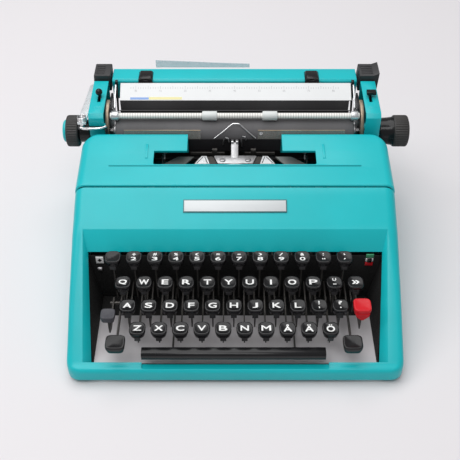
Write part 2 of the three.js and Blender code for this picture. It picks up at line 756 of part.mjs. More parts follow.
// bail that holds the paper on the platen, with two rollers and two end rings
function paperBail() {
  const rod = rodX(-124.5, 124.5, BAIL.y, BAIL.z, BAIL.rod, 12);
  const roller = (x0, x1) => rodX(x0, x1, BAIL.y, BAIL.z, BAIL.roller, 16);
  const arm = (side) => {
    const x0 = side > 0 ? 123 : -124.5;
    return alongX(
      [
        [BAIL.y - 2, BAIL.z - 1],
        [BAIL.pivotY - 3, BAIL.pivotZ - 3],
        [BAIL.pivotY + 3, BAIL.pivotZ - 3],
        [BAIL.pivotY + 3, BAIL.pivotZ + 3],
        [BAIL.y + 2, BAIL.z + 2.4],
      ],
      x0,
      x0 + 1.5,
    );
  };
  const pin = (side) => {
    const x0 = side > 0 ? 124 : -126.2;
    return rodX(x0, x0 + 2.2, BAIL.pivotY, BAIL.pivotZ, 2, 10);
  };
  return join(
    rod,
    roller(-32.5, -17.5),
    roller(27.5, 42.5),
    roller(-123, -115.5),
    roller(115.5, 123),
    arm(1),
    arm(-1),
    pin(1),
    pin(-1),
  );
}
place('paper_bail', paperBail(), brightSteel);

// white table with the letter scale, its dark pan curls down behind the platen
function paperTable() {
  const plate = alongX(
    [
      [107.5, 99],
      [109, 99],
      [109, 121.5],
      [124.6, 131.2],
      [123.8, 132.6],
      [107.5, 122.6],
    ],
    -117.5,
    117.5,
  );
  return plate;
}
place('paper_table', paperTable(), whiteEnamel);

function rearBar() {
  const profile = [
    [REAR_BAR.rear, REAR_BAR.bottom],
    [REAR_BAR.rear, REAR_BAR.top - 7],
    [REAR_BAR.rear - 7, REAR_BAR.top],
    [REAR_BAR.front + 2, REAR_BAR.top],
    [REAR_BAR.front, REAR_BAR.top - 2],
    [REAR_BAR.front, REAR_BAR.bottom],
  ];
  const hollow = inset(profile, 2).map(([y, z]) => [y, z < REAR_BAR.bottom + 4 ? REAR_BAR.bottom - 5 : z]);
  return cut(
    alongX(profile, -REAR_BAR.half, REAR_BAR.half),
    alongX(hollow, -REAR_BAR.half + 2, REAR_BAR.half - 2),
  );
}
place('carriage_rear_bar', rearBar(), turquoise);

// margin stops clip over the top edge of the rear bar and slide along it
const STOP = { left: -92, right: 80, half: 8 };
function marginStop(x) {
  const saddle = alongX(
    [
      [REAR_BAR.front - 2.3, REAR_BAR.top - 7],
      [REAR_BAR.front - CLEAR, REAR_BAR.top - 7],
      [REAR_BAR.front - CLEAR, REAR_BAR.top - 1.8],
      [REAR_BAR.front + 1.9, REAR_BAR.top + CLEAR],
      [REAR_BAR.front + 14, REAR_BAR.top + CLEAR],
      [REAR_BAR.front + 14, REAR_BAR.top + 2],
      [REAR_BAR.front - 1, REAR_BAR.top + 2.4],
      [REAR_BAR.front - 2.3, REAR_BAR.top + 0.6],
    ],
    x - STOP.half,
    x + STOP.half,
  );
  return saddle;
}
place('margin_stop_left', marginStop(STOP.left), blackPlastic);
place('margin_stop_right', marginStop(STOP.right), blackPlastic);

// black release levers on both rear corners of the carriage; they tip down on a rear pin
const RELEASE = { front: 129.5, rear: 152, bottom: 119, top: 138 };
function carriageRelease(side) {
  const x0 = side > 0 ? 128.2 : -146.5;
  const x1 = side > 0 ? 148.5 : -128.2;
  const flare = side > 0 ? 2.5 : 0;
  const body = alongY(
    [
      [x0, RELEASE.bottom],
      [x1, RELEASE.bottom],
      [x1 + (side > 0 ? 1.2 : 0), RELEASE.top + flare],
      [x1 - 5, RELEASE.top],
      [x0 + 1.2, RELEASE.top],
    ],
    RELEASE.front,
    RELEASE.rear,
  );
  const hollow = box(x0 + 2, x1 - 2, RELEASE.front + 2, RELEASE.rear - 2, RELEASE.bottom - 1, RELEASE.top - 3);
  return cut(body, hollow);
}
place('carriage_release_left', carriageRelease(-1), blackPlastic);
place('carriage_release_right', carriageRelease(1), blackPlastic);

// return lever: folded back along the left end cover, it swings out and forward on a vertical pin
function returnLever() {
  const { x, y, z0, z1 } = RETURN;
  const pin = rodZ(x, y, RETURN.standTop + CLEAR, z1 + 2, 3, 16);
  const blade = alongZ(
    [
      [x - 4.5, y - 3],
      [x + 3.6, y - 3],
      [x + 3.6, y + 8],
      [x + 2.6, RETURN.tipY - 4],
      [x, RETURN.tipY],
      [x - 2.6, RETURN.tipY - 4],
      [x - 4.5, y + 8],
    ],
    z0,
    z1,
  );
  return join(pin, blade);
}
place('return_lever', returnLever(), brightSteel);

function releaseTab() {
  const { x, y, z } = PAPER_RELEASE;
  const stem = alongX(
    [
      [y - 3.5, z - 3],
      [y + 3.5, z - 3],
      [y + 3.5, z + 3],
      [y + 1.6, END.top + 6],
      [y - 1.6, END.top + 6],
      [y - 3.5, z + 3],
    ],
    x - 0.9,
    x + 0.9,
  );
  const tab = box(x - 4, x + 5.5, y - 3, y + 3, END.top + 4.4, END.top + 7.4);
  return join(stem, tab);
}
place('paper_release_lever', releaseTab(), blackPlastic);

function lineSpaceLever() {
  const { x, y, z } = LINE_SPACE;
  const stem = alongX(
    [
      [y - 3.5, z - 3],
      [y + 3.5, z - 3],
      [y + 3.5, z + 3],
      [y + 1.6, END.top + 5],
      [y - 1.6, END.top + 5],
      [y - 3.5, z + 3],
    ],
    x - 0.9,
    x + 0.9,
  );
  const ball = new THREE.SphereGeometry(3.6, 12, 8);
  ball.rotateX(Math.PI / 2);
  ball.translate(x, y, END.top + 7);
  return join(stem, solid(ball));
}
place('line_space_lever', lineSpaceLever(), blackPlastic);

export default group;
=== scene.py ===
"""Looks of a portable manual typewriter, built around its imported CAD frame.

Shapes are drawn in millimetres, with X to the right, Y to the back and Z up.
"""

import math

import bmesh
import bpy
from mathutils import Matrix, Vector


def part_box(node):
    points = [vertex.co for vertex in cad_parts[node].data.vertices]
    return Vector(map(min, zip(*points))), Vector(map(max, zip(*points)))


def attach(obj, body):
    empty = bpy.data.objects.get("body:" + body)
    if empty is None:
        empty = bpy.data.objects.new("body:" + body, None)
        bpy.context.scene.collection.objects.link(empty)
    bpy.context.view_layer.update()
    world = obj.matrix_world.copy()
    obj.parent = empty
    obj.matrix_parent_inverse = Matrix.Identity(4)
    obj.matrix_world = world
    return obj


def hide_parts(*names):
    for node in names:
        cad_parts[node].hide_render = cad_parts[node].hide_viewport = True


MM = 0.001

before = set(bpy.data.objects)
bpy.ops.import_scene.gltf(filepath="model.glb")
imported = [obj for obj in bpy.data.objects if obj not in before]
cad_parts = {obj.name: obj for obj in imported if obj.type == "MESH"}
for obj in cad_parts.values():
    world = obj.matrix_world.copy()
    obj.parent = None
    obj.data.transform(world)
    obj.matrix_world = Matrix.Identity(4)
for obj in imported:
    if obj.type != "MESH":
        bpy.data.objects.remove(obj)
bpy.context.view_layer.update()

# ---------------------------------------------------------------- driving dimensions
# HALF is half of a width, Y a depth and Z a height. The lip's two edges are (y, z).
BODY_HALF = 151.0
BODY_FRONT, BODY_REAR, BODY_BOTTOM = -155.0, 140.0, 4.5
BAR_TOP, BAR_REAR = 18.0, -146.5
LIP_TOP, LIP_BOTTOM = (-46.7, 88.0), (-60.6, 72.0)
SHOULDER_SLOPE, SHOULDER_TURN, SHOULDER_ROLL = 0.478, -17.0, 0.009
SIDE_TOP, REAR_TOP = 84.0, 72.0
SEAM_Y, SEAM_GAP = -8.7, 1.0
COVER_FRONT_Z, COVER_REAR_Z, COVER_REAR = 107.6, 115.0, 62.5
COVER_ROLL, COVER_REAR_ROLL = 1.3, 3.0
SLOT_HALF, SLOT_FRONT = 46.4, 37.8
WIDE_HALF, WIDE_FRONT = 78.5, 19.5
DECK_HALF, DECK_TOP, DECK_REAR = 128.2, 12.0, -86.0
BADGE_HALF, BADGE_REAR, BADGE_DEPTH = 48.2, -20.5, 11.6
PLATEN_Y, PLATEN_Z, PLATEN_RADIUS, PLATEN_HALF = 84.0, 101.5, 18.5, 119.5
BAIL_Y, BAIL_Z = 78.3, 124.5
SPOOL_X, SPOOL_Y = 102.0, 18.0
SEGMENT_TOP = 97.0

# The keys: PITCH counts key pitches from the middle, and a TIE joins levers that move as one.
KEY_PITCH = 19.05
CAP_HALF, CAP_HOLLOW = 7.35, 0.8
MARGIN_PITCH, BACKSPACE_PITCH, TABULATOR_PITCH, LOCK_PITCH = -5.8125, 5.6875, 5.9375, -5.9375
SHIFT_PITCHES = (-5.5625, 5.4375)
PIVOT_Y, PIVOT_Z = 50.0, 44.0
TIE_HALF = 0.75


# ---------------------------------------------------------------- materials
def new_material(name, color, roughness, metallic=0.0):
    material = bpy.data.materials.new(name)
    material.use_nodes = True
    shader = material.node_tree.nodes["Principled BSDF"]
    shader.inputs["Base Color"].default_value = (*color, 1.0)
    shader.inputs["Roughness"].default_value = roughness
    shader.inputs["Metallic"].default_value = metallic
    return material, material.node_tree, shader


def noise(tree, scale, detail, stretch=(1.0, 1.0, 1.0)):
    """A noise texture in object space, in cycles per metre, stretched along the axes."""
    coordinates = tree.nodes.new("ShaderNodeTexCoord")
    mapping = tree.nodes.new("ShaderNodeMapping")
    mapping.inputs["Scale"].default_value = stretch
    texture = tree.nodes.new("ShaderNodeTexNoise")
    texture.inputs["Scale"].default_value = scale
    texture.inputs["Detail"].default_value = detail
    tree.links.new(coordinates.outputs["Object"], mapping.inputs["Vector"])
    tree.links.new(mapping.outputs["Vector"], texture.inputs["Vector"])
    return texture.outputs["Fac"]


def ramp(tree, value, low, high, start=0.35, end=0.65):
    node = tree.nodes.new("ShaderNodeValToRGB")
    node.color_ramp.elements[0].position = start
    node.color_ramp.elements[1].position = end
    node.color_ramp.elements[0].color = (*low, 1.0)
    node.color_ramp.elements[1].color = (*high, 1.0)
    tree.links.new(value, node.inputs["Fac"])
    return node.outputs["Color"]


def bump(tree, shader, value, strength, distance):
    node = tree.nodes.new("ShaderNodeBump")
    node.inputs["Strength"].default_value = strength
    node.inputs["Distance"].default_value = distance * MM
    tree.links.new(value, node.inputs["Height"])
    tree.links.new(node.outputs["Normal"], shader.inputs["Normal"])


def grey(level):
    return (level, level, level)


def textured(
    name, color, roughness, metallic=0.0, scale=900, tint=0.12, stretch=(1, 1, 1), relief=0.03, shine=0.5
):
    """A surface whose colour varies by tint, and whose gloss and relief (in mm) follow a fine grain."""
    material, tree, shader = new_material(name, color, roughness, metallic)
    shader.inputs["Specular IOR Level"].default_value = shine
    patches = noise(tree, 18.0, 3.0)
    dark = tuple(c * (1.0 - tint) for c in color)
    light = tuple(min(1.0, c * (1.0 + tint * 0.5)) for c in color)
    tree.links.new(ramp(tree, patches, dark, light), shader.inputs["Base Color"])
    grain = noise(tree, scale, 2.0, stretch)
    gloss = ramp(tree, grain, grey(roughness * 0.85), grey(min(1.0, roughness * 1.2)))
    tree.links.new(gloss, shader.inputs["Roughness"])
    bump(tree, shader, grain, 0.5, relief)
    return material


ENAMEL = textured("turquoise_enamel", (0.006, 0.48, 0.52), 0.33, tint=0.04, relief=0.002, shine=0.4)
KEY_BLACK = textured("key_black", (0.009, 0.009, 0.01), 0.2, scale=1200, tint=0.2, relief=0.008, shine=0.3)
LOCK_GREY = textured("lock_grey", (0.06, 0.06, 0.07), 0.4, tint=0.1, shine=0.3)
CASE_BLACK = textured("case_black", (0.03, 0.029, 0.031), 0.5, scale=1500, tint=0.15)
KNOB_BLACK = textured("knob_black", (0.028, 0.026, 0.025), 0.55, scale=1100, tint=0.2, relief=0.05)
RED = textured("tab_red", (0.62, 0.01, 0.018), 0.35, tint=0.06, relief=0.01, shine=0.3)
DECK = textured("deck_grey", (0.56, 0.54, 0.555), 0.6, scale=1600, tint=0.08, relief=0.05)
# Near black standing for painted shade: deep in the keyboard well, where it opens into the machine, and in a
# sliver at each carriage side.
SHADE_BLACK = textured("shade_black", (0.006, 0.006, 0.006), 0.8, tint=0.2)
RUBBER = textured("platen_rubber", (0.115, 0.113, 0.118), 0.55, scale=260, tint=0.15, stretch=(9, 0.4, 0.4))
FOOT_RUBBER = textured("foot_rubber", (0.02, 0.02, 0.02), 0.85, scale=600, tint=0.2)
ROLLER = textured("roller_grey", (0.7, 0.73, 0.72), 0.5, scale=800, tint=0.05)
CHROME = textured(
    "chrome", (0.78, 0.78, 0.79), 0.12, 1.0, scale=500, tint=0.06, stretch=(1, 6, 1), relief=0.004
)
STEEL = textured("steel", (0.42, 0.42, 0.43), 0.34, 1.0, scale=500, tint=0.25, stretch=(1, 5, 1), relief=0.01)
LEVER = textured(
    "lever_steel", (0.09, 0.085, 0.08), 0.42, 0.85, scale=400, tint=0.35, stretch=(1, 0.2, 1), relief=0.01
)
SEGMENT = textured("segment_steel", (0.48, 0.48, 0.49), 0.38, 0.7, scale=500, tint=0.15, relief=0.01)
TAN = textured("zinc_tan", (0.42, 0.33, 0.24), 0.45, 0.7, scale=420, tint=0.3, relief=0.02)
WHITE = textured("scale_white", (0.8, 0.815, 0.82), 0.4, scale=700, tint=0.03, relief=0.01)
INK = textured("ink", (0.02, 0.02, 0.022), 0.6, tint=0.1)
TICK = textured("tick_grey", (0.48, 0.48, 0.49), 0.6, tint=0.1)
LEGEND = textured("legend_white", (0.86, 0.87, 0.86), 0.45, scale=1200, tint=0.03, relief=0.005)
BADGE = textured("badge_silver", (0.62, 0.65, 0.66), 0.4, 0.1, tint=0.04, stretch=(0.2, 8, 1), relief=0.006)
RIBBON = textured(
    "ribbon_ink", (0.01, 0.009, 0.011), 0.7, scale=1800, tint=0.3, stretch=(1, 1, 3), relief=0.04
)
BLUE_MARK = textured("mark_blue", (0.25, 0.4, 0.75), 0.5, tint=0.05)
ZINC = textured("zinc_plate", (0.3, 0.31, 0.3), 0.45, 0.3, scale=400, tint=0.15, relief=0.01)
YELLOW_MARK = textured("mark_yellow", (0.83, 0.78, 0.4), 0.5, tint=0.05)
GREEN_MARK = textured("mark_green", (0.05, 0.3, 0.14), 0.5, tint=0.05)


def clear_plastic(name, color, alpha):
    material, tree, shader = new_material(name, color, 0.12)
    haze = noise(tree, 60.0, 2.0, (1, 3, 1))
    tree.links.new(ramp(tree, haze, grey(0.08), grey(0.3)), shader.inputs["Roughness"])
    shader.inputs["Alpha"].default_value = alpha
    return material


CLEAR = clear_plastic("clear_plastic", (0.42, 0.42, 0.39), 0.45)
FROSTED = clear_plastic("frosted_plastic", (0.62, 0.68, 0.72), 0.5)
LEVER_CHROME = textured("lever_chrome", (0.84, 0.86, 0.88), 0.3, 0.55, scale=300, tint=0.06, relief=0.006)
# Dark turquoise, painted shade for the groove in front of the cover's cross rib.
LINE_SHADE = textured("enamel_groove_shade", (0.004, 0.2, 0.22), 0.6, tint=0.1)
PAN_BLACK = textured("pan_black", (0.085, 0.084, 0.087), 0.6, scale=700, tint=0.2, relief=0.02)
RING = textured("ring_nickel", (0.62, 0.63, 0.64), 0.28, 0.6, scale=500, tint=0.08)
BADGE_EDGE = textured("badge_edge", (0.05, 0.16, 0.17), 0.4, tint=0.1)


BANDS_AT_SCALE_ONE = 3.183


def ruled(name, color, line, period):
    """A smooth surface with fine rulings across X, one for each period in millimetres."""
    material, tree, shader = new_material(name, color, 0.35)
    coordinates = tree.nodes.new("ShaderNodeTexCoord")
    wave = tree.nodes.new("ShaderNodeTexWave")
    wave.wave_type = "BANDS"
    wave.bands_direction = "X"
    wave.inputs["Scale"].default_value = 1.0 / (period * MM) / BANDS_AT_SCALE_ONE
    wave.inputs["Distortion"].default_value = 0.0
    tree.links.new(coordinates.outputs["Object"], wave.inputs["Vector"])
    tree.links.new(ramp(tree, wave.outputs["Fac"], line, color, 0.02, 0.3), shader.inputs["Base Color"])
    bump(tree, shader, wave.outputs["Fac"], 0.3, 0.05)
    return material


BAIL = ruled("bail_cream", (0.86, 0.85, 0.81), (0.55, 0.54, 0.51), 2.54)


# ---------------------------------------------------------------- mesh building
def turns(sides):
    """The angles of evenly spaced points around a circle."""
    return [2 * math.pi * i / sides for i in range(sides)]


class Builder:
    """Collects the faces of one piece in millimetres, each face with its own material."""

    def __init__(self):
        self.points = []
        self.faces = []
        self.slots = []
        self.materials = []

    def slot(self, material):
        if material not in self.materials:
            self.materials.append(material)
        return self.materials.index(material)

    def add(self, points, faces, material):
        offset = len(self.points)
        index = self.slot(material)
        self.points.extend(Vector(p) for p in points)
        self.faces.extend([i + offset for i in face] for face in faces)
        self.slots.extend([index] * len(faces))

    def rings(self, rings, material):
        """Skins a row of rings that all have the same number of points, and closes both ends."""
        size = len(rings[0])
        points = [p for ring in rings for p in ring]
        last = len(points) - size
        faces = []
        for a in range(0, last, size):
            b = a + size
            faces.extend([a + i, a + (i + 1) % size, b + (i + 1) % size, b + i] for i in range(size))
        faces.append(list(range(size))[::-1])
        faces.append([last + i for i in range(size)])
        self.add(points, faces, material)

    def box(self, x0, x1, y0, y1, z0, z1, material):
        self.prism_z([(x0, y0), (x1, y0), (x1, y1), (x0, y1)], z0, z1, material)

    def prism_x(self, outline, x0, x1, material):
        self.rings([[(x, y, z) for y, z in outline] for x in (x0, x1)], material)

    def prism_y(self, outline, y0, y1, material):
        self.rings([[(x, y, z) for x, z in outline] for y in (y0, y1)], material)

    def prism_z(self, outline, z0, z1, material):
        self.rings([[(x, y, z) for x, y in outline] for z in (z0, z1)], material)

    def lathe_x(self, profile, y, z, material, sides=48):
        """Turns (x, radius) pairs around the line (y, z) along X."""
        self.rings(
            [[(x, y + r * math.cos(a), z + r * math.sin(a)) for a in turns(sides)] for x, r in profile],
            material,
        )

    def lathe_z(self, profile, x, y, material, sides=32):
        """Turns (z, radius) pairs around the line (x, y) along Z."""
        self.rings(
            [[(x + r * math.cos(a), y + r * math.sin(a), z) for a in turns(sides)] for z, r in profile],
            material,
        )

    def wire(self, path, radius, material, sides=10):
        """A round wire that follows the points of a path."""
        path = [Vector(p) for p in path]
        rings = []
        for i, p in enumerate(path):
            ahead = path[min(i + 1, len(path) - 1)]
            behind = path[max(i - 1, 0)]
            along = (ahead - behind).normalized()
            side = along.cross(Vector((0.0, 0.31, 1.0))).normalized()
            up = side.cross(along)
            rings.append([p + radius * (math.cos(a) * side + math.sin(a) * up) for a in turns(sides)])
        self.rings(rings, material)

    def stud(self, x, y, z, radius, material):
        """A short round stud that points to the front."""
        length, sides = 0.8, 20
        ends = (y + length, y)
        self.rings(
            [[(x + radius * math.cos(a), v, z + radius * math.sin(a)) for a in turns(sides)] for v in ends],
            material,
        )

    def lettering(self, text, height, width, x, y, surface, bold):
        """Flat generic letters laid on a surface given as a function of x and y.

        They are struck four times, moved by bold each time, and each strike lies just above the last.
        """
        points, faces = letter_mesh(text, height - 2 * bold, width - 2 * bold)
        shifts = [(-bold, -bold), (bold, -bold), (bold, bold), (-bold, bold)]
        for i, (du, dv) in enumerate(shifts):
            placed = [(x + u + du, y + v + dv) for u, v in points]
            self.add([(px, py, surface(px, py) + 0.015 * i) for px, py in placed], faces, LEGEND)

    def object(self, name, body, replaces=(), slot=None, smooth=40.0, bevel=0.0, segments=2):
        """Makes the piece, rounds and smooths it, and hands it to its body and its CAD nodes; slot is not
        used.
        """
        mesh = bpy.data.meshes.new(name)
        mesh.from_pydata([p * MM for p in self.points], [], self.faces)
        for material in self.materials:
            mesh.materials.append(material)
        mesh.polygons.foreach_set("material_index", self.slots)
        obj = bpy.data.objects.new(name, mesh)
        bpy.context.scene.collection.objects.link(obj)
        edit(mesh, face_outwards)
        if bevel:
            round_edges(obj, bevel, segments)
        smooth_by_angle(obj, smooth)
        if body:
            hand_over(obj, body, replaces)
        return obj


def hand_over(obj, body, nodes):
    """Tells the frame which body the piece rides and which CAD nodes it replaces."""
    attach(obj, body)
    for node in nodes:
        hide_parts(node)


def edit(mesh, change):
    """Runs change on the mesh's faces and edges, and keeps the result."""
    work = bmesh.new()
    work.from_mesh(mesh)
    change(work)
    work.to_mesh(mesh)
    work.free()


def face_outwards(work):
    bmesh.ops.recalc_face_normals(work, faces=work.faces)


def bake(obj):
    """Turns the object's modifiers into plain mesh."""
    bpy.context.view_layer.update()
    graph = bpy.context.evaluated_depsgraph_get()
    mesh = bpy.data.meshes.new_from_object(obj.evaluated_get(graph))
    obj.modifiers.clear()
    obj.data = mesh


def round_edges(obj, width, segments, limit=35.0):
    """Rounds every edge that turns by more than the limit in degrees."""
    modifier = obj.modifiers.new("bevel", "BEVEL")
    modifier.width = width * MM
    modifier.segments = segments
    modifier.limit_method = "ANGLE"
    modifier.angle_limit = math.radians(limit)
    bake(obj)


def smooth_by_angle(obj, degrees):
    """Shades the piece smooth, and keeps edges that turn by more than this sharp."""
    def shade(work):
        for face in work.faces:
            face.smooth = True
        for edge in work.edges:
            edge.smooth = len(edge.link_faces) == 2 and edge.calc_face_angle(0.0) < math.radians(degrees)

    edit(obj.data, shade)


def cut_away(obj, *cutters):
    for cutter in cutters:
        modifier = obj.modifiers.new("cut", "BOOLEAN")
        modifier.operation = "DIFFERENCE"
        modifier.solver = "EXACT"
        modifier.object = cutter
    bake(obj)
    for cutter in cutters:
        bpy.data.objects.remove(cutter)


LETTERS = {}


def letter_mesh(text, height, width):
    """Letters as flat faces, centred on the origin and stretched to the height and width given."""
    key = (text, height, width)
    if key not in LETTERS:
        curve = bpy.data.curves.new("letters", "FONT")
        curve.body = text
        curve.size = 1.0
        curve.resolution_u = 4
        holder = bpy.data.objects.new("letters", curve)
        bpy.context.scene.collection.objects.link(holder)
        bpy.context.view_layer.update()
        mesh = holder.evaluated_get(bpy.context.evaluated_depsgraph_get()).to_mesh()
        xs = [v.co.x for v in mesh.vertices]
        ys = [v.co.y for v in mesh.vertices]
        mid_x, mid_y = (min(xs) + max(xs)) / 2, (min(ys) + max(ys)) / 2
        fit_x = width / (max(xs) - min(xs))
        fit_y = height / (max(ys) - min(ys))
        points = [((v.co.x - mid_x) * fit_x, (v.co.y - mid_y) * fit_y) for v in mesh.vertices]
        faces = [list(p.vertices) for p in mesh.polygons]
        bpy.data.objects.remove(holder)
        LETTERS[key] = (points, faces)
    return LETTERS[key]


def arc(cx, cy, radius, start, end, steps):
    """Points on a circle from start to end, in degrees."""
    points = []
    for i in range(steps + 1):
        angle = math.radians(start + (end - start) * i / steps)
        points.append((cx + radius * math.cos(angle), cy + radius * math.sin(angle)))
    return points


def rounded_rect(x0, x1, y0, y1, radius):
    corners = ((x1 - radius, y1 - radius), (x0 + radius, y1 - radius))
    corners += ((x0 + radius, y0 + radius), (x1 - radius, y0 + radius))
    points = []
    for i, (x, y) in enumerate(corners):
        points += arc(x, y, radius, 90 * i, 90 * i + 90, 6)
    return points


def superellipse(half_x, half_y, power, count):
    """A rounded outline: the higher the power, the squarer it is."""
    points = []
    for i in range(count):
        angle = 2 * math.pi * (i + 0.5) / count
        c, s = math.cos(angle), math.sin(angle)
        x = half_x * math.copysign(abs(c) ** (2 / power), c)
        y = half_y * math.copysign(abs(s) ** (2 / power), s)
        points.append((x, y))
    return points


# ---------------------------------------------------------------- body shell
def side_height(y):
    """Height of the housing's outer surface at depth y: a rounded bar, a straight side, then a shoulder."""
    nose = 5
    if y <= BODY_FRONT + nose:
        drop = nose - (y - BODY_FRONT)
        return BAR_TOP - nose + math.sqrt(max(0.0, nose**2 - drop * drop))
    knee = BAR_REAR - 2
    if y <= knee:
        return BAR_TOP
    if y <= LIP_TOP[0]:
        return BAR_TOP + (LIP_TOP[1] - BAR_TOP) * (y - knee) / (LIP_TOP[0] - knee)
    rise = LIP_TOP[1] + SHOULDER_SLOPE * (y - LIP_TOP[0])
    roll = max(0.0, y - SHOULDER_TURN)
    return rise - SHOULDER_ROLL * roll * roll


def edge_radius(y):
    """Radius of the long side edges, larger towards the shoulder."""
    return 6.0 + 4.5 * min(1.0, max(0.0, (y + 100.0) / 60.0))


def plan_half(y, corner=12.0, front=BODY_FRONT, rear=BODY_REAR):
    """Half the plan width at depth y, with rounded corners."""
    inset = max(0.0, corner - (y - front), corner - (rear - y))
    return BODY_HALF - corner + math.sqrt(max(0.0, corner**2 - min(inset, corner) ** 2))


def shell_section(y, half, top, radius, bottom):
    steps = 8
    radius = min(radius, (top - bottom) * 0.6)
    right = arc(half - radius, top - radius, radius, 0, 90, steps)
    left = arc(-half + radius, top - radius, radius, 90, 180, steps)
    return [(x, y, z) for x, z in [(half, bottom)] + right + left + [(-half, bottom)]]


def shell(stations, material, name):
    """A solid through stations of (y, half width, top, corner radius, bottom)."""
    b = Builder()
    b.rings([shell_section(*s) for s in stations], material)
    return b.object(name, None)


def housing_stations(wall):
    """Stations of the housing from front to back, or of its cavity if a wall is given."""
    front = BODY_FRONT + wall
    start = [0.0, 0.2, 0.7, 1.5, 2.6, 4.0, 5.6, 7.5, 9.6, 12.0]
    depths = [front + d for d in start]
    depths += [-140, -130, -118, -105, -92, -80, -70, -60, -52, -46.7, -40, -32, -25, -19]
    step = SEAM_Y - wall * 0.7
    depths += [y for y in (-17, -15, -13, -11.5, -10.2, -9.2) if y < step - 0.3] + [step]
    bottom = BODY_BOTTOM if not wall else -6.0
    rows = []
    for y in depths:
        half = plan_half(y - wall) - wall
        rows.append((y, half, side_height(y - wall * 0.4) - wall, edge_radius(y) - wall * 0.6, bottom))
    rear = [SEAM_Y + wall * 0.4, 10, 30, COVER_REAR + 0.3 - wall]
    rows += [(y, BODY_HALF - wall, SIDE_TOP - wall, 1.5, bottom) for y in rear]
    back = [COVER_REAR + 0.31 - wall, 80, 100, 120] + [BODY_REAR - wall - d for d in start[::-1]]
    rows += [(y, plan_half(y + wall) - wall, REAR_TOP - wall, 3.0, bottom) for y in back]
    return rows


def rim_half(z):
    """Half width of the keyboard well at its rim, where the housing side stands at height z."""
    return 136.0 + 4.3 * (z - BAR_TOP) / (LIP_TOP[1] - BAR_TOP)


def well_cutter():
    """The open space above and below the keys, wider at the top."""
    rear, low, high = -58.2, -8, 112
    half, lean = 134.9, 0.061
    outline = [(BAR_REAR, low), (rear, low), (rear, LIP_BOTTOM[1] - 2), LIP_BOTTOM, LIP_TOP]
    outline += [(LIP_TOP[0], high), (BAR_REAR, high)]
    b = Builder()
    b.rings([[(s * (half + lean * z), y, z) for y, z in outline] for s in (-1, 1)], ENAMEL)
    return b.object("well_cutter", None)


def box_cutter(name, *limits):
    b = Builder()
    b.box(*limits, ENAMEL)
    return b.object(name, None)


def rim_section(side, y):
    """Section of the flange that folds down into the well at one side."""
    z = side_height(max(y, BAR_REAR - 2))
    outer = rim_half(z)
    inner = outer - 7.4 + 3.5 * (y - BAR_REAR) / 100.0
    points = [(outer + 2.2, z - 0.2), (outer - 0.1, z - 0.1), (inner, z - 7.0)]
    points += [(inner + 1.4, z - 8.4), (outer + 2.2, z - 3.0)]
    return [(side * x, y, height) for x, height in points]


def build_housing():
    body = shell(housing_stations(0.0), ENAMEL, "housing")
    cavity = shell(housing_stations(3.0), ENAMEL, "cavity")
    basket = box_cutter("basket", -138, 138, SEAM_Y + 0.2, BODY_REAR - 6, 40, 130)
    recess_plan = rounded_rect(-83.5, 83.5, BODY_FRONT + 2.4, BAR_REAR + 6, 2.0)
    r = Builder()
    r.prism_z(recess_plan, BAR_TOP - 1.6, BAR_TOP + 6, ENAMEL)
    recess = r.object("recess", None)
    cut_away(body, cavity, well_cutter(), basket, recess)
    round_edges(body, 0.8, 5, 38.0)
    smooth_by_angle(body, 21.0)
    hand_over(body, "chassis", ["body_housing"])

    flange = Builder()
    for side in (-1, 1):
        flange.rings([rim_section(side, y) for y in (BAR_REAR - 0.6, -120, -90, LIP_TOP[0] + 1)], ENAMEL)
    flange.object("housing_rims", "chassis", bevel=0.4, smooth=24.0, slot="turquoise_enamel")

    lip = Builder()
    width = rim_half(LIP_TOP[1]) + 1.0
    lip.prism_x(
        [
            LIP_BOTTOM,
            (LIP_BOTTOM[0] + 2.2, LIP_BOTTOM[1] - 1.6),
            (LIP_TOP[0] + 5.0, LIP_TOP[1] - 1.8),
            (LIP_TOP[0] + 3.0, LIP_TOP[1] + 0.9),
            (LIP_TOP[0] - 0.4, LIP_TOP[1] - 0.4),
        ],
        -width,
        width,
        ENAMEL,
    )
    lip.object("housing_lip", "chassis", bevel=0.5, segments=3, smooth=24.0, slot="turquoise_enamel")


def roll_off(radius, distance):
    """How far a rounded edge of this radius has dropped at a distance from its end."""
    short = max(0.0, radius - distance)
    return radius - math.sqrt(max(0.0, radius**2 - short * short))


def cover_top(y):
    """Height of the cover at depth y, with its front and rear edges rolled off."""
    front = SEAM_Y + SEAM_GAP
    rise = COVER_FRONT_Z + (COVER_REAR_Z - COVER_FRONT_Z) * (y - front) / (COVER_REAR - front)
    return rise - roll_off(COVER_ROLL, y - front) - roll_off(COVER_REAR_ROLL, COVER_REAR - y)


def cover_stations(wall):
    """Stations of the cover from front to back, or of its hollow if a wall is given."""
    front, rear = SEAM_Y + SEAM_GAP, COVER_REAR - wall
    flat = front + 2.6
    depths = [front - 20, flat] if wall else [front + d for d in (0.0, 0.15, 0.4, 0.8, 1.3)] + [flat]
    depths += [2, 14, 26, 38, 46]
    depths += [rear - d for d in (13.9, 11, 8.5, 6.4, 4.6, 3.0, 1.8, 0.9, 0.3, 0.0)]
    bottom = SIDE_TOP + 0.3 if not wall else 20
    rows = []
    for y in depths:
        half = plan_half(y + wall, corner=14.0, front=-200, rear=COVER_REAR) - wall
        top = cover_top(max(y, flat) if wall else y) - wall
        rows.append((y, half, top, 9.0 - wall, bottom))
    return rows


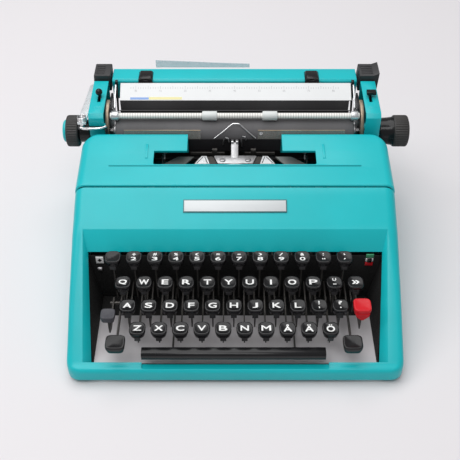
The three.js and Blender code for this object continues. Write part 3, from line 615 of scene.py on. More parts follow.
def build_cover():
    cover = shell(cover_stations(0.0), ENAMEL, "cover")
    hollow = shell(cover_stations(2.4), ENAMEL, "hollow")
    b = Builder()
    rear, corner = 80, 2
    slot = [(-SLOT_HALF, rear), (-SLOT_HALF, SLOT_FRONT), (-WIDE_HALF, SLOT_FRONT)]
    slot += arc(-WIDE_HALF + corner, WIDE_FRONT + corner, corner, 180, 270, 4)
    slot += arc(WIDE_HALF - corner, WIDE_FRONT + corner, corner, 270, 360, 4)
    slot += [(WIDE_HALF, SLOT_FRONT), (SLOT_HALF, SLOT_FRONT), (SLOT_HALF, rear)]
    b.prism_z(slot, 60, 130, ENAMEL)
    opening = b.object("opening", None)
    skirt = box_cutter("skirt", -128, 128, 50, 80, 60, 92)
    cut_away(cover, hollow, opening, skirt)
    round_edges(cover, 0.8, 3, 38.0)
    smooth_by_angle(cover, 50.0)
    hand_over(cover, "cover", ["ribbon_cover"])


# ---------------------------------------------------------------- keyboard
# Each row's depth, the height of its caps, and the place of its first key in pitches.
ROWS = {
    "bottom": (-128.0, 45.0, -4.5625),
    "home": (-110.0, 55.0, -5.0625),
    "upper": (-92.0, 66.0, -5.3125),
    "number": (-74.0, 80.0, -4.8125),
}
NUMBER_LEGENDS = ["2+", "3#", "4%", "5(", "6=", "7-", "8)", "9/", "0&", '":', "´`"]
UPPER_LEGENDS = [*"QWERTYUIOP", "-U"]
HOME_LEGENDS = [*"ASDFGHJKL", ",!", ".?"]
BOTTOM_LEGENDS = "ZXCVBNMÅÄÖ"
UPPER_NODES = [*"qwertyuiop", "accent"]
HOME_NODES = [*"asdfghjkl", "exclamation", "question"]

# Height and width of the signs that are much smaller than a figure, and width of the unusual letters.
SIGN_SIZES = {",": (2.0, 1.3), ".": (1.3, 1.5), "!": (3.6, 1.3), "?": (3.6, 3.4), "-": (0.9, 3.0)}
SIGN_SIZES |= {'"': (1.7, 2.8), ":": (2.6, 1.3), "´": (1.7, 1.9), "`": (1.7, 1.9), "=": (1.7, 3.2)}
LETTER_WIDTHS = {"I": 1.7, "M": 8.6, "W": 8.9, "E": 6.0, "F": 5.6, "J": 4.9, "L": 5.8, "T": 6.8, "S": 6.6}


def dish(u, v, depth):
    """How far the dished top of a cap lies below its rim, for u and v from -1 to 1."""
    return depth * max(0.0, 1.0 - (u * u + v * v) / 0.8)


def add_cap(
    b, x, y, z, half_x=CAP_HALF, half_y=CAP_HALF, height=7.0, material=KEY_BLACK, power=3.0, hollow=CAP_HOLLOW
):
    """A cap with a rounded rim and a dished top, its rim at height z."""
    outline = superellipse(half_x, half_y, power, 32)
    steps = [(0.86, -height), (0.97, -height * 0.55), (1.0, -1.6), (0.985, -0.7), (0.94, -0.15), (0.88, 0.0)]
    steps += [(f, -dish(f, 0.0, hollow)) for f in (0.78, 0.6, 0.4, 0.2, 0.05)]
    rings = [[(x + u * f, y + v * f, z + dz) for u, v in outline] for f, dz in steps]
    b.rings(rings, material)


def add_clip(b, x, y, z):
    """Metal clip that holds the cap, seen as a small tab below its front edge."""
    b.box(x - 2.6, x + 2.6, y - 6.6, y - 5.2, z - 10.5, z - 6.5, CASE_BLACK)
    b.box(x - 3.4, x + 3.4, y - 5.4, y + 3.0, z - 8.3, z - 6.8, LEVER)


def add_lever(b, x, y, z):
    """A flat lever from the round eye on the pivot, forward under the keys and up to the cap."""
    bend, low, high = -30, 27, 33
    outline = arc(PIVOT_Y, PIVOT_Z, 4.0, -120, 120, 10)
    outline += [(bend, high), (y + 4.0, high), (y + 2.5, z - 3), (y - 2.5, z - 3)]
    outline += [(y - 2.5, low), (bend, low)]
    b.prism_x(outline, x - 0.6, x + 0.6, LEVER)


def add_legend(b, text, x, y, z):
    """A letter, a figure, or a lower and an upper sign, on the dished top of a cap."""
    def surface(px, py):
        return z - dish((px - x) / CAP_HALF, (py - y) / CAP_HALF, CAP_HOLLOW) + 0.12

    if len(text) == 1 and text.isalpha():
        height = 6.0 * 1.35 if text in "ÅÄÖ" else 6.0
        b.lettering(text, height, LETTER_WIDTHS.get(text, 7.4), x, y, surface, bold=0.17)
    elif len(text) == 1:
        b.lettering(text, 4.6, 6.8, x, y, surface, bold=0.2)
    else:
        for sign, up, size in ((text[0], -2.4, (4.6, 5.0)), (text[1], 3.1, (2.9, 3.4))):
            height, width = SIGN_SIZES.get(sign, size)
            b.lettering(sign, height, width, x, y + up, surface, bold=0.12)


def add_key(b, pitches, row, legend):
    y, z, _ = ROWS[row]
    x = pitches * KEY_PITCH
    add_lever(b, x, y, z)
    add_clip(b, x, y, z)
    add_cap(b, x, y, z)
    if legend:
        add_legend(b, legend, x, y, z)


def key_object(name, body, node, pitches, row, legend):
    b = Builder()
    add_key(b, pitches, row, legend)
    b.object(name, body, [node], "black_plastic", smooth=35.0)


def build_row(name, body, node, row, legends, tie_z):
    """A whole row of keys that moves as one, its levers tied behind the pivot."""
    b = Builder()
    start = ROWS[row][2]
    tie_top, tie_rear = tie_z + 2.5, PIVOT_Y + 9
    for i, legend in enumerate(legends):
        add_key(b, start + i, row, legend)
        x = (start + i) * KEY_PITCH
        low, high = min(tie_z, PIVOT_Z - 1), max(tie_top, PIVOT_Z + 1)
        b.box(x - TIE_HALF, x + TIE_HALF, PIVOT_Y + 2.8, tie_rear, low, high, LEVER)
    first, last = start * KEY_PITCH, (start + len(legends) - 1) * KEY_PITCH
    b.box(first - TIE_HALF, last + TIE_HALF, PIVOT_Y + 6.5, tie_rear, tie_z, tie_top, LEVER)
    b.object(name, body, [node], "black_plastic", smooth=35.0)


def build_keys():
    build_row("number_keys", "number_row", "number_row_keys", "number", NUMBER_LEGENDS, 46.5)
    build_row("bottom_keys", "bottom_row", "bottom_row_keys", "bottom", BOTTOM_LEGENDS, 39.0)
    for row, nodes, legends in (("upper", UPPER_NODES, UPPER_LEGENDS), ("home", HOME_NODES, HOME_LEGENDS)):
        for i, node in enumerate(nodes):
            key_object(f"cap_{node}", f"letter_{node}", f"key_{node}", ROWS[row][2] + i, row, legends[i])
    key_object("cap_margin", "margin", "margin_key", MARGIN_PITCH, "number", "")
    key_object("cap_backspace", "backspace", "backspace_key", BACKSPACE_PITCH, "upper", "»")


def build_tabulator():
    """The red key, with a pointed tab at the front of its cap."""
    b = Builder()
    x, y, z = TABULATOR_PITCH * KEY_PITCH, -112.0, 58.0
    half_y = 7.6
    add_lever(b, x, y, z)
    add_cap(b, x, y, z, 7.9, half_y, height=8.0, material=RED, power=4.5, hollow=0.9)
    tab = [(-6.4, -5.0), (6.4, -5.0), (5.6, -8.4), (0.8, -13.0), (-0.8, -13.0), (-5.6, -8.4)]
    b.prism_y([(x + u, z + v) for u, v in tab], y - half_y, y - 6.2, RED)
    b.object("cap_tabulator", "tabulator", ["tabulator_key"], "red_plastic", smooth=35.0)


def build_shift():
    b = Builder()
    left, right = (pitches * KEY_PITCH for pitches in SHIFT_PITCHES)
    y, z = -139.5, 40.0
    tie_low, tie_top, tie_rear = 42.5, 45.5, PIVOT_Y + 16
    for x in (left, right):
        add_lever(b, x, y, z)
        b.box(x - TIE_HALF, x + TIE_HALF, PIVOT_Y + 3, tie_rear, tie_low, tie_top, LEVER)
        add_cap(b, x, y, z, 8.75, 8.0, height=8.0, power=4.5, hollow=0.7)
    b.box(left - TIE_HALF, right + TIE_HALF, PIVOT_Y + 13, tie_rear, tie_low, tie_top, LEVER)
    lock_x = LOCK_PITCH * KEY_PITCH
    b.lathe_x([(lock_x - 3, 1.8), (left, 1.8)], -86, 30, LEVER, 16)
    b.object("shift_pair", "shift", ["shift_keys"], "black_plastic", smooth=35.0)

    lock = Builder()
    y, z = -119.0, 54.0
    arm_rear, arm_low, arm_high, stem_top = -82, 26.5, 33.5, z - 3
    outline = [(y - 2.5, 30), (y + 6, arm_low), (arm_rear, arm_low), (arm_rear, arm_high)]
    outline += [(y + 5, arm_high), (y + 2.5, stem_top), (y - 2.5, stem_top)]
    lock.prism_x(outline, lock_x - TIE_HALF, lock_x + TIE_HALF, LEVER)
    add_cap(lock, lock_x, y, z, 6.5, 6.0, material=LOCK_GREY, power=4.5, hollow=0.5)
    lock.object("lock_cap", "shift_lock", ["shift_lock_key"], "black_plastic", smooth=35.0)


def build_space_bar():
    b = Builder()
    left, right, front, rear, bottom, top = -83.3, 80.2, -148.0, -138.0, 25.0, 32.0
    arm_places, arm_bend, arm_low, arm_top = (-55.94, 53.58), -60, 20.5, 24.8
    outline = [(front, bottom), (front + 0.2, top - 2.2), (front + 1.4, top - 0.7), (front + 3.4, top)]
    outline += [(rear - 1.6, top - 0.2), (rear - 0.3, top - 1.4), (rear, bottom)]
    b.prism_x(outline, left, right, KEY_BLACK)
    arm = [(rear - 2, arm_low), (arm_bend, arm_low), (PIVOT_Y + 3, PIVOT_Z - 4), (PIVOT_Y + 4, PIVOT_Z)]
    arm += [(PIVOT_Y + 3, PIVOT_Z + 4), (PIVOT_Y - 4, PIVOT_Z + 3), (arm_bend, arm_top)]
    arm += [(rear + 3.5, arm_top), (rear + 1.5, bottom + 1.5), (rear - 2, bottom + 1.5)]
    for x in arm_places:
        b.prism_x(arm, x - TIE_HALF, x + TIE_HALF, LEVER)
    b.object("space_bar_piece", "space", ["space_bar"], "black_plastic", smooth=35.0, bevel=0.25)


def build_well():
    """Grey floor of the keyboard well, with near-black faces painted as shade: the cheeks at its sides, the
    floor behind it and the wall under the lip.
    """
    b = Builder()
    front, wall_y, wall_top = BAR_REAR + 0.6, -61.5, 68.5
    b.box(-DECK_HALF, DECK_HALF, front + 4, DECK_REAR, DECK_TOP - 1.5, DECK_TOP, DECK)
    # Near-black floor behind the deck: painted shade where the well opens into the machine.
    b.box(-DECK_HALF, DECK_HALF, DECK_REAR, -20, DECK_TOP - 2.5, DECK_TOP - 0.8, SHADE_BLACK)
    lean = (141.5 - 127.5) / (96.0 - DECK_TOP)
    low = DECK_TOP - 1.5
    outline = [(front + 5, low), (wall_y, low), (wall_y, wall_top), (front + 5, DECK_TOP + 0.8)]

    def cheek(z, offset):
        """Half width of the well's side at height z."""
        return 127.4 + offset + lean * (z - DECK_TOP)

    # Near-black cheeks: painted shade on the well's side walls.
    for side in (-1, 1):
        b.rings([[(side * cheek(z, o), y, z) for y, z in outline] for o in (0.0, 1.4)], SHADE_BLACK)
    # Near-black wall under the lip: painted shade at the back of the well.
    b.box(-136, 136, wall_y + 0.1, wall_y + 1.1, DECK_TOP, wall_top - 0.5, SHADE_BLACK)
    b.object("well_floor", "chassis", ["keyboard_deck"], "grey_plastic", bevel=0.3)


# ---------------------------------------------------------------- pieces refined from the CAD
def merge_flat(work):
    bmesh.ops.remove_doubles(work, verts=work.verts, dist=0.00001)
    bmesh.ops.dissolve_limit(work, angle_limit=math.radians(2.0), verts=work.verts, edges=work.edges)


def refined(node, body, material, bevel, segments=3):
    """The CAD piece with flat faces merged and every edge rounded off."""
    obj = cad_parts[node].copy()
    obj.data = obj.data.copy()
    obj.name = f"{node}_piece"
    obj.hide_render = False
    obj.hide_viewport = False
    for key in [k for k in obj.keys() if k.startswith("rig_")]:
        del obj[key]
    obj.parent = None
    obj.matrix_world = Matrix.Identity(4)
    bpy.context.scene.collection.objects.link(obj)
    edit(obj.data, merge_flat)
    obj.data.materials.clear()
    obj.data.materials.append(material)
    obj.data.polygons.foreach_set("material_index", [0] * len(obj.data.polygons))
    round_edges(obj, bevel, segments, 30.0)
    smooth_by_angle(obj, 45.0)
    hand_over(obj, body, [node])


def build_refined():
    for side in ("left", "right"):
        refined(f"end_cover_{side}", "carriage", ENAMEL, 1.2, 4)
    refined("carriage_rear_bar", "carriage", ENAMEL, 1.0, 4)
    refined("carriage_frame", "carriage", CASE_BLACK, 0.3)
    refined("carriage_rail", "chassis", STEEL, 0.5)
    refined("base_pan", "chassis", CASE_BLACK, 0.4)
    refined("key_fulcrum", "chassis", STEEL, 0.3)
    refined("carriage_release_left", "release_left", CASE_BLACK, 1.4, 4)
    refined("carriage_release_right", "release_right", CASE_BLACK, 1.0, 4)
    refined("paper_release_lever", "paper_release", KEY_BLACK, 0.4)
    refined("line_space_lever", "line_space", KEY_BLACK, 0.15)
    for corner in ("front_left", "front_right", "rear_left", "rear_right"):
        refined(f"foot_{corner}", "chassis", FOOT_RUBBER, 0.5)


# ---------------------------------------------------------------- carriage
def turned(b, profile, material, sides=48):
    """Turns (x, radius) pairs around the platen's axis."""
    b.lathe_x(profile, PLATEN_Y, PLATEN_Z, material, sides)


def add_grip(b, x0, x1):
    """The grip of a platen knob, with fine flutes along X and rounded ends."""
    radius, depth, count = 16.0, 0.45, 40
    steps = [(x0, 0.90), (x0 + 0.4, 0.955), (x0 + 1.0, 0.985), (x0 + 1.8, 1.0)]
    steps += [(x1 - 1.8, 1.0), (x1 - 1.0, 0.985), (x1 - 0.4, 0.955), (x1, 0.90)]
    rings = []
    for x, f in steps:
        ring = []
        for i in range(count * 2):
            angle = math.pi * i / count
            r = radius * f - (depth if i % 2 and f > 0.97 else 0.0)
            ring.append((x, PLATEN_Y + r * math.cos(angle), PLATEN_Z + r * math.sin(angle)))
        rings.append(ring)
    b.rings(rings, KNOB_BLACK)


def build_platen():
    b = Builder()
    half, r = PLATEN_HALF, PLATEN_RADIUS
    profile = [(-half, r - 1.2), (-half + 0.8, r - 0.3), (-half + 1.6, r)]
    profile += [(x, r) for x in range(-110, 111, 20)]
    profile += [(half - 1.6, r), (half - 0.8, r - 0.3), (half, r - 1.2)]
    turned(b, profile, RUBBER, 96)
    turned(b, [(-152.5, 2.4), (-152, 3.0), (152, 3.0), (152.5, 2.4)], STEEL, 24)
    for side in (-1, 1):
        turned(b, [(side * (half + 0.1), 12.0), (side * (half + 1.6), 12.0)], STEEL, 40)
        turned(b, [(side * (half + 1.5), 7.0), (side * (half + 4.0), 6.6)], STEEL, 24)
    b.object("platen_roll", "platen_roller", ["platen"], "black_rubber", smooth=30.0)


def build_knobs():
    left = Builder()
    add_grip(left, -170.4, -157.8)
    turned(left, [(-158.2, 9.5), (-156.5, 11.5), (-147.0, 11.5), (-146.5, 11.0)], KEY_BLACK)
    turned(left, [(-174.0, 9.6), (-173.4, 10.6), (-172.6, 11.2), (-169.8, 11.4)], ENAMEL)
    left.object("knob_left", "platen_roller", ["platen_knob_left"], "black_plastic", smooth=30.0)

    right = Builder()
    add_grip(right, 160.4, 175.6)
    turned(right, [(146.5, 12.6), (147.0, 13.2), (154.0, 13.6), (160.2, 14.4), (161.0, 15.0)], KEY_BLACK)
    turned(right, [(175.5, 13.2), (176.3, 12.4), (176.6, 11.0)], KEY_BLACK)
    right.object("knob_right", "platen_roller", ["platen_knob_right"], "black_plastic", smooth=30.0)


def build_bail():
    b = Builder()
    y, z = BAIL_Y, BAIL_Z
    b.lathe_x([(-124.5, 2.2), (-124.1, 2.8), (124.1, 2.8), (124.5, 2.2)], y, z, BAIL, 32)
    for x0, x1 in ((-32.5, -17.5), (27.5, 42.5)):
        profile = [(x0, 3.6), (x0 + 0.3, 4.3), (x0 + 1.0, 4.6), (x1 - 1.0, 4.6), (x1 - 0.3, 4.3), (x1, 3.6)]
        b.lathe_x(profile, y, z, ROLLER, 40)
    for side in (-1, 1):
        profile = [(115.5, 3.2), (115.8, 4.2), (116.6, 4.6), (122.0, 4.6), (122.8, 4.2), (123.0, 3.2)]
        b.lathe_x([(side * x, r) for x, r in profile], y, z, RING, 32)
        arm = [(y - 2, z - 1), (103, 109), (106, 108.6), (108.6, 110), (109, 112.6), (107, 115)]
        arm.append((y + 2, z + 2.4))
        b.prism_x(arm, side * 123.0, side * 124.5, STEEL)
        b.lathe_x([(side * 124.4, 2.0), (side * 126.2, 2.0)], 106, 112, STEEL, 20)
    b.object("bail_bar", "bail", ["paper_bail"], "bright_steel", smooth=35.0)


def build_paper_table():
    """White plate with a numbered scale, above a dark pan that goes down behind the platen."""
    b = Builder()
    bottom, top = (107.5, 122.6), (123.8, 132.6)
    length = math.hypot(top[0] - bottom[0], top[1] - bottom[1])
    along = ((top[0] - bottom[0]) / length, (top[1] - bottom[1]) / length)
    normal = (-along[1], along[0])

    def on_plate(distance, lift):
        """A point (y, z) up the plate from its lower edge, lifted off its face."""
        return tuple(bottom[i] + along[i] * distance + normal[i] * lift for i in (0, 1))

    plate = [on_plate(0, 0), on_plate(length, 0), on_plate(length, -1.4), on_plate(0, -1.4)]
    b.prism_x(plate, -117.5, 119.6, WHITE)
    pan = [(107.5, 99), (109, 99), (109, 121.4), (108.4, 122.4), (107.3, 122.4)]
    b.prism_x(pan, -117.5, 117.5, PAN_BLACK)
    trough = arc(PLATEN_Y, PLATEN_Z, PLATEN_RADIUS + 1.6, 20, 62, 10)
    trough += arc(PLATEN_Y, PLATEN_Z, PLATEN_RADIUS + 2.4, 62, 20, 10)
    b.prism_x(trough, -117.0, 117.0, PAN_BLACK)

    def mark(x0, x1, d0, d1, material):
        points = [on_plate(d0, 0.02), on_plate(d1, 0.02), on_plate(d1, 0.1), on_plate(d0, 0.1)]
        b.prism_x(points, x0, x1, material)

    pitch, tick_half, tick_foot = 2.54, 0.16, 12.6
    for i in range(-42, 43):
        tall = 3.2 if i % 5 == 0 else 2.0
        mark(i * pitch - tick_half, i * pitch + tick_half, tick_foot, tick_foot + tall, TICK)
    for i in range(-40, 41, 10):
        points, faces = letter_mesh(str(i + 45), 2.0, 2.6)
        placed = [(i * pitch + u, *on_plate(10.6 + v, 0.08)) for u, v in points]
        b.add(placed, faces, TICK)
    mark(-107.0, -88.0, 0.8, 3.2, BLUE_MARK)
    mark(-88.0, -54.0, 0.8, 3.6, YELLOW_MARK)
    b.object("scale_plate", "carriage", ["paper_table"], "white_enamel", bevel=0.0)


def build_margin_stops():
    """Two black riders on the rear bar, each with a sagging top edge in front of a roof."""
    front, top = 127.5, 134.3
    for side, x in (("left", -92.0), ("right", 80.0)):
        b = Builder()
        sag = arc(x, top + 6.2, 6.4, 225, 315, 8)
        outline = [(x - 8, top - 7), (x + 8, top - 7), (x + 7.2, top), (x + 6.0, top + 2.4)]
        outline += [(u, min(v + 0.6, top + 2.4)) for u, v in sag[::-1]]
        outline += [(x - 6.0, top + 2.4), (x - 7.2, top)]
        b.prism_y(outline, front - 2.3, front - 0.4, KEY_BLACK)
        roof = [(x - 7.6, top - 0.1), (x + 7.6, top - 0.1), (x + 5.6, top + 2.1), (x - 5.6, top + 2.1)]
        b.prism_y(roof, front - 1.2, front + 14, KEY_BLACK)
        node = f"margin_stop_{side}"
        b.object(f"{node}_piece", f"stop_{side}", [node], "black_plastic", bevel=0.4)


def build_return_lever():
    """Bright folded arm with a spring coil on its pin."""
    b = Builder()
    x, y = -151.0, 69.6
    b.lathe_z([(118.3, 3.0), (126.4, 3.0), (127.0, 2.4)], x, y, CHROME, 28)
    plan = [(x - 4.5, y - 3), (x + 3.6, y - 3), (x + 4.0, y + 8), (x + 5.2, 100), (x + 6.2, 122)]
    plan += [(x + 5.4, 131), (x + 3.0, 134), (x + 0.4, 131), (x - 1.6, 104), (x - 4.5, y + 8)]
    b.prism_z(plan, 122.2, 124.6, LEVER_CHROME)
    coil = []
    coil_turns, steps, coil_radius = 6, 16, 4.1
    for i in range(coil_turns * steps + 1):
        angle = 2 * math.pi * i / steps
        rise = 0.26 * i / steps * 3.2
        coil.append((x + coil_radius * math.cos(angle), y + coil_radius * math.sin(angle), 125.2 + rise))
    b.wire(coil, 0.55, CHROME, 8)
    b.object("return_arm_blade", "return_arm", ["return_lever"], "bright_steel", bevel=0.5)

    strap = Builder()
    path = [(-153, 66.4), (-150, 64.6), (-140, 64.2), (-132, 65.2), (-128, 68.0)]
    strap.wire([(px, py, 118.9) for px, py in path], 1.3, CHROME, 12)
    strap.object("return_strap", "carriage", smooth=60.0)


def build_carriage_trim():
    b = Builder()
    for side in (-1, 1):
        plate = [(69, 92), (70, 106), (74, 117), (82, 126.4), (92, 129.4), (100, 128.6), (101, 125.4)]
        plate += [(93, 125.8), (85, 122.6), (78.5, 114), (75.5, 104), (75.5, 92)]
        b.prism_x(plate, side * 126.2, side * 129.4, TAN)
        strip = [(97, 119), (97, 121), (110, 128.6), (121, 133.4), (122.4, 131.8), (112, 126.4)]
        b.prism_x(strip, side * 121.5, side * 122.8, LEVER_CHROME)
        # Near-black sliver at each side: painted shade.
        b.prism_x([(103, 99), (110, 99), (124, 131), (112, 128)], side * 120.2, side * 121.4, SHADE_BLACK)
        b.lathe_x([(side * 120.0, 2.6), (side * 122.6, 2.6)], 122.8, 134.2, KEY_BLACK, 20)
    b.object("carriage_trim", "carriage", bevel=0.25)

    fold = Builder()
    for side in (-1, 1):
        panel = [(side * 133.4, 82.0), (side * 141.4, 82.0), (side * 141.0, 90.0), (side * 133.8, 90.0)]
        fold.prism_z(panel, 130.9, 131.5, ENAMEL)
    fold.object("end_cover_panels", "carriage", bevel=0.2)

    support = Builder()
    outline = [(-83, 130.8), (16, 130.8), (16, 135.2), (-20, 136.6), (-83, 139.6)]
    support.prism_y(outline, 155.6, 156.4, FROSTED)
    support.object("paper_support", "carriage")

    for side in ("left", "right"):
        rib = Builder()
        lo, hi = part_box(f"carriage_release_{side}")
        x0, x1 = lo.x / MM + 3.4, hi.x / MM - 6.4
        for i in range(5):
            rib.box(x0, x1, 132.5 + 3.4 * i, 134.0 + 3.4 * i, 137.8, 138.5, CASE_BLACK)
        rib.object(f"release_ribs_{side}", f"release_{side}", bevel=0.2)


# ---------------------------------------------------------------- type basket and ribbon
def build_basket():
    """The segment block, and around it the ring plates, typebars and floor plates of the basket."""
    b = Builder()
    top = SEGMENT_TOP
    outline = arc(0.0, 63.0, 34.0, 40, 140, 24)
    outline += [(-26, 60), (-26, 53), (26, 53), (26, 60)]
    b.prism_y(outline, 36.0, 46.0, SEGMENT)
    plate = [(-16.5, 37.0), (17.5, 37.0), (21.5, 48.0), (20.5, 49.0), (-19.5, 49.0), (-20.5, 48.0)]
    b.prism_z(plate, top - 2.0, top + 0.2, SEGMENT)
    guide = [(42, 93), (46, 93), (61.6, 101.5), (62.3, 104), (60, 105), (46, 97.4)]
    b.prism_x(guide, -3.4, 3.4, SEGMENT)
    for side in (-1, 1):
        b.box(side * 1.1, side * 3.4, 58.6, 62.2, 104.0, 107.4, CHROME)
        b.lathe_z([(top, 2.9), (top + 1.0, 2.9), (top + 1.3, 2.5)], side * 12.6 + 0.5, 41.9, STEEL, 24)
        b.box(side * 12.6 - 1.9, side * 12.6 + 2.9, 41.6, 42.2, top + 1.31, top + 1.36, INK)
    b.object("segment_block", "chassis", ["type_segment"], "bright_steel", bevel=0.35)

    bars = Builder()
    ring_z, ring_top, ring_start = 62.0, 95.5, 24
    for side in (-1, 1):
        for ring, material in enumerate((STEEL, SEGMENT, STEEL, ZINC)):
            radius = 37.5 + 3.5 * ring
            stop = math.degrees(math.asin((ring_top - ring_z) / radius))
            outer = arc(0.0, ring_z, radius, ring_start, stop, 14)
            inner = arc(0.0, ring_z, radius - 2.0, stop, ring_start, 14)
            outline = [(side * u, v) for u, v in outer + inner]
            bars.prism_y(outline, 39.0 - ring * 0.8, 50.5 - ring * 0.6, material)
    count = 22
    for side in (-1, 1):
        for i in range(count):
            angle = math.radians(8 + 78 * i / (count - 1))
            add_typebar(bars, side, angle, CHROME if i % 3 else STEEL)
    band = arc(0.0, 95.0, 41.0, 184, 356, 40) + arc(0.0, 95.0, 38.0, 356, 184, 40)
    bars.prism_y(band, 22.0, 26.0, STEEL)
    for side in (-1, 1):
        wedge = [(52, 40.0), (76, 40.0), (68, 46.0), (57, 55.0), (41, 55.0)]
        groove = [(18.0, 38.0), (24.5, 38.0), (27.0, 49.4), (21.6, 49.4)]
        slab = [(25.0, 38.0), (39.5, 38.0), (33.0, 50.0), (28.0, 50.0)]
        plates = [(wedge, 89.6, 91.0, ZINC), (groove, 94.4, 95.6, LEVER), (slab, 94.4, 95.9, LEVER_CHROME)]
        for x0, x1 in ((26.6, 29.6), (37.0, 31.2)):
            line = [(x0, 39.0), (x0 + 0.9, 39.0), (x1 + 0.6, 48.6), (x1, 48.6)]
            plates.append((line, 95.9, 96.1, INK))
        for plan, z0, z1, material in plates:
            bars.prism_z([(side * x, y) for x, y in plan], z0, z1, material)
    bars.object("typebars", "chassis", ["typebar_basket"], "bright_steel", bevel=0.0)


def add_typebar(b, side, angle, material):
    """A resting typebar that runs from the segment out to its type slug."""
    radial = Vector((side * math.sin(angle), 0.0, -math.cos(angle)))
    across = Vector((side * math.cos(angle), 0.0, math.sin(angle)))
    centre = Vector((0.0, 25.0, 95.0))
    for r0, r1, w, y0, y1 in ((36.0, 63.0, 0.6, 23.4, 25.4), (61.0, 66.5, 1.3, 21.0, 27.4)):
        rings = []
        for r in (r0, r1):
            p = centre + radial * r
            rings.append([
                (p.x - across.x * w, y0, p.z - across.z * w),
                (p.x + across.x * w, y0, p.z + across.z * w),
                (p.x + across.x * w, y1, p.z + across.z * w),
                (p.x - across.x * w, y1, p.z - across.z * w),
            ])
        b.rings(rings, material)


def build_ribbon():
    b = Builder()
    b.box(-62, 62, 63.3, 63.7, 92.0, 106.5, RIBBON)
    for side in (-1, 1):
        b.wire([(side * 70, 30, 99.5), (side * 72, 44, 99.8), (side * 62, 60, 99.4)], 0.7, STEEL, 8)
        b.lathe_z([(84, 1.6), (101.5, 1.6), (102.4, 1.1)], side * 70.6, 50.0, CHROME, 16)
    b.object("ink_ribbon", "chassis", smooth=40.0)

    guard = Builder()
    wire = [(-20.6, 62.6, 108.0), (-12.0, 65.8, 113.6), (-3.4, 70.0, 119.6), (-1.6, 70.6, 120.4)]
    wire += [(3.8, 70.6, 120.4), (5.6, 70.0, 119.6), (13.6, 65.8, 113.6), (21.1, 62.6, 108.4)]
    guard.wire(wire, 0.75, CHROME, 10)
    for points in (
        ((-11.8, 61.4, 101.0), (-11, 61.4, 107.5), (-9, 61.2, 110.4), (-6.6, 61, 109.6), (-5.8, 60.8, 105.4)),
        ((7.2, 61.2, 99.0), (6.6, 61.3, 108.0), (8.0, 61.4, 111.6), (10.4, 61.4, 111.0), (11.2, 61.4, 107.6)),
    ):
        guard.wire(points, 0.9, STEEL, 8)
    for x0, x1 in ((-110.0, -34.0), (23.0, 109.5)):
        guard.box(x0, x1, 64.6, 65.1, 106.0, 116.6, CLEAR)
        guard.wire([(x0, 64.6, 116.7), (x1, 64.6, 116.7)], 0.45, TAN, 8)
    guard.stud(26.0, 64.2, 113.0, 1.9, CHROME)
    for x in (-20.0, 18.5):
        guard.box(x - 2.4, x + 2.4, 53.0, 56.0, 93.0, 101.0, LEVER)
    for x0, x1 in ((-44.0, -10.0), (10.0, 40.0)):
        guard.box(x0, x1, 53.4, 55.0, 94.6, 97.2, LEVER)
    guard.object("line_guard", "chassis", smooth=40.0)

    for side, x in (("left", -SPOOL_X), ("right", SPOOL_X)):
        s = Builder()
        y = SPOOL_Y
        s.lathe_z([(86.0, 23.6), (86.3, 24.0), (87.0, 24.0), (87.1, 3.6)], x, y, STEEL, 48)
        s.lathe_z([(87.0, 17.0), (99.0, 17.0)], x, y, RIBBON, 48)
        s.lathe_z([(98.9, 3.6), (99.0, 24.0), (99.7, 24.0), (100.0, 23.6), (100.0, 6.0)], x, y, STEEL, 48)
        for angle in turns(3):
            u, v = x + 12 * math.cos(angle), y + 12 * math.sin(angle)
            s.lathe_z([(99.9, 4.0), (100.15, 4.0)], u, v, INK, 20)
        node = f"ribbon_spool_{side}"
        s.object(f"{node}_piece", f"spool_{side}", [node], "dark_steel", smooth=30.0)


# ---------------------------------------------------------------- small marks on the housing
def slope_point(x, y, lift):
    """A point lifted squarely off the sloped face behind the keys."""
    return (x, y - 0.43 * lift, side_height(y) + 0.9 * lift)


def build_marks():
    """A badge without text, the marks at the sides of the keys, and the ribs on the cover."""
    b = Builder()
    for inset, low, high, material in ((0.0, -0.2, 0.9, BADGE_EDGE), (0.9, 0.9, 1.05, BADGE)):
        half, front, rear = BADGE_HALF - inset, BADGE_REAR - BADGE_DEPTH + inset, BADGE_REAR - inset
        corners = [(-half, front), (half, front), (half, rear), (-half, rear)]
        b.rings([[slope_point(x, y, lift) for x, y in corners] for lift in (low, high)], material)
    b.object("blank_badge", "chassis", bevel=0.15)

    c = Builder()
    for i, material in enumerate((GREEN_MARK, LEGEND, RED)):
        z = 68.5 - 5.2 * i
        c.box(121.0, 128.0, -62.6, -61.6, z - 2.0, z + 2.0, material)
    c.box(122.4, 126.4, -64.6, -62.4, 62.0, 65.6, KEY_BLACK)
    c.box(-129.0, -122.0, -62.6, -61.6, 59.0, 67.0, LEGEND)
    c.box(-127.3, -123.7, -62.9, -62.6, 62.3, 63.9, INK)
    c.box(-126.3, -124.7, -62.9, -62.6, 61.1, 65.1, INK)
    c.lathe_x([(-128.0, 2.0), (-124.0, 2.0)], -63.4, 53.0, STEEL, 12)
    c.object("well_marks", "chassis", bevel=0.2)

    d = Builder()
    d.box(-121.0, 121.0, 17.3, 18.3, 109.6, 110.9, ENAMEL)
    # Dark turquoise strip just in front of the rib: a painted shade line.
    d.box(-121.0, 121.0, 16.7, 17.3, 109.6, 110.45, LINE_SHADE)
    for x in (-85.6, 86.4):
        section = [(x - 1.3, -0.6), (x - 1.3, 0.7), (x + 1.3, 0.7), (x + 1.3, -0.6)]
        d.rings([[(u, y, cover_top(y) + h) for u, h in section] for y in (27.5, 46.5)], ENAMEL)
    d.object("cover_ribs", "cover", bevel=0.3, slot="turquoise_enamel")


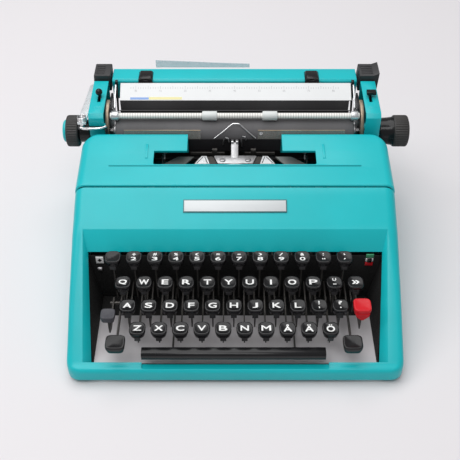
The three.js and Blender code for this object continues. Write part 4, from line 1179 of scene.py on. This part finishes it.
# ---------------------------------------------------------------- camera, light and floor
def build_stage():
    half, level = 2500, -0.2
    corners = [(-half, -half, level), (half, -half, level), (half, half, level), (-half, half, level)]
    b = Builder()
    b.add(corners, [[0, 1, 2, 3]], new_material("floor_paper", (0.755, 0.735, 0.752), 0.9)[0])
    floor = b.object("floor", None)


def add_area(name, location, target, size, power):
    """A lamp of the size given, turned to its target."""
    light = bpy.data.lights.new(name, "AREA")
    light.shape = "RECTANGLE"
    light.size, light.size_y = size
    light.energy = power
    obj = bpy.data.objects.new(name, light)
    bpy.context.scene.collection.objects.link(obj)
    obj.location = location
    direction = Vector(target) - Vector(location)
    obj.rotation_euler = direction.to_track_quat("-Z", "Y").to_euler()


def build_lights():
    world = bpy.data.worlds.new("studio")
    world.use_nodes = True
    bpy.context.scene.world = world
    background = world.node_tree.nodes["Background"]
    background.inputs["Color"].default_value = (1.0, 0.985, 1.0, 1.0)
    background.inputs["Strength"].default_value = 0.34
    add_area("key_light", (-0.35, 0.45, 1.75), (0, 0, 0.05), (2.0, 1.5), 25.0)
    add_area("left_light", (-1.15, -0.25, 1.25), (-0.1, -0.05, 0.08), (0.35, 0.9), 2.5)
    add_area("fill_light", (-0.1, -0.75, 1.6), (0, -0.1, 0.05), (1.0, 0.5), 7.0)


def build_camera():
    elevation = math.radians(44.0)
    distance = 0.8
    target = Vector((-0.0047, -0.019, 0.060))
    camera = bpy.data.cameras.new("camera")
    camera.sensor_width = 36.0
    camera.lens = 64.7217
    camera.dof.use_dof = False
    obj = bpy.data.objects.new("camera", camera)
    bpy.context.scene.collection.objects.link(obj)
    obj.location = target + distance * Vector((0, -math.cos(elevation), math.sin(elevation)))
    obj.rotation_euler = (math.pi / 2 - elevation, 0, 0)
    bpy.context.scene.camera = obj
    bpy.context.scene.view_settings.view_transform = "Standard"


for build in (
    build_housing, build_cover, build_well, build_keys, build_tabulator, build_shift,
    build_space_bar, build_refined, build_platen, build_knobs, build_bail, build_paper_table,
    build_margin_stops, build_return_lever, build_carriage_trim, build_basket, build_ribbon,
    build_marks, build_stage, build_lights, build_camera,
):
    build()
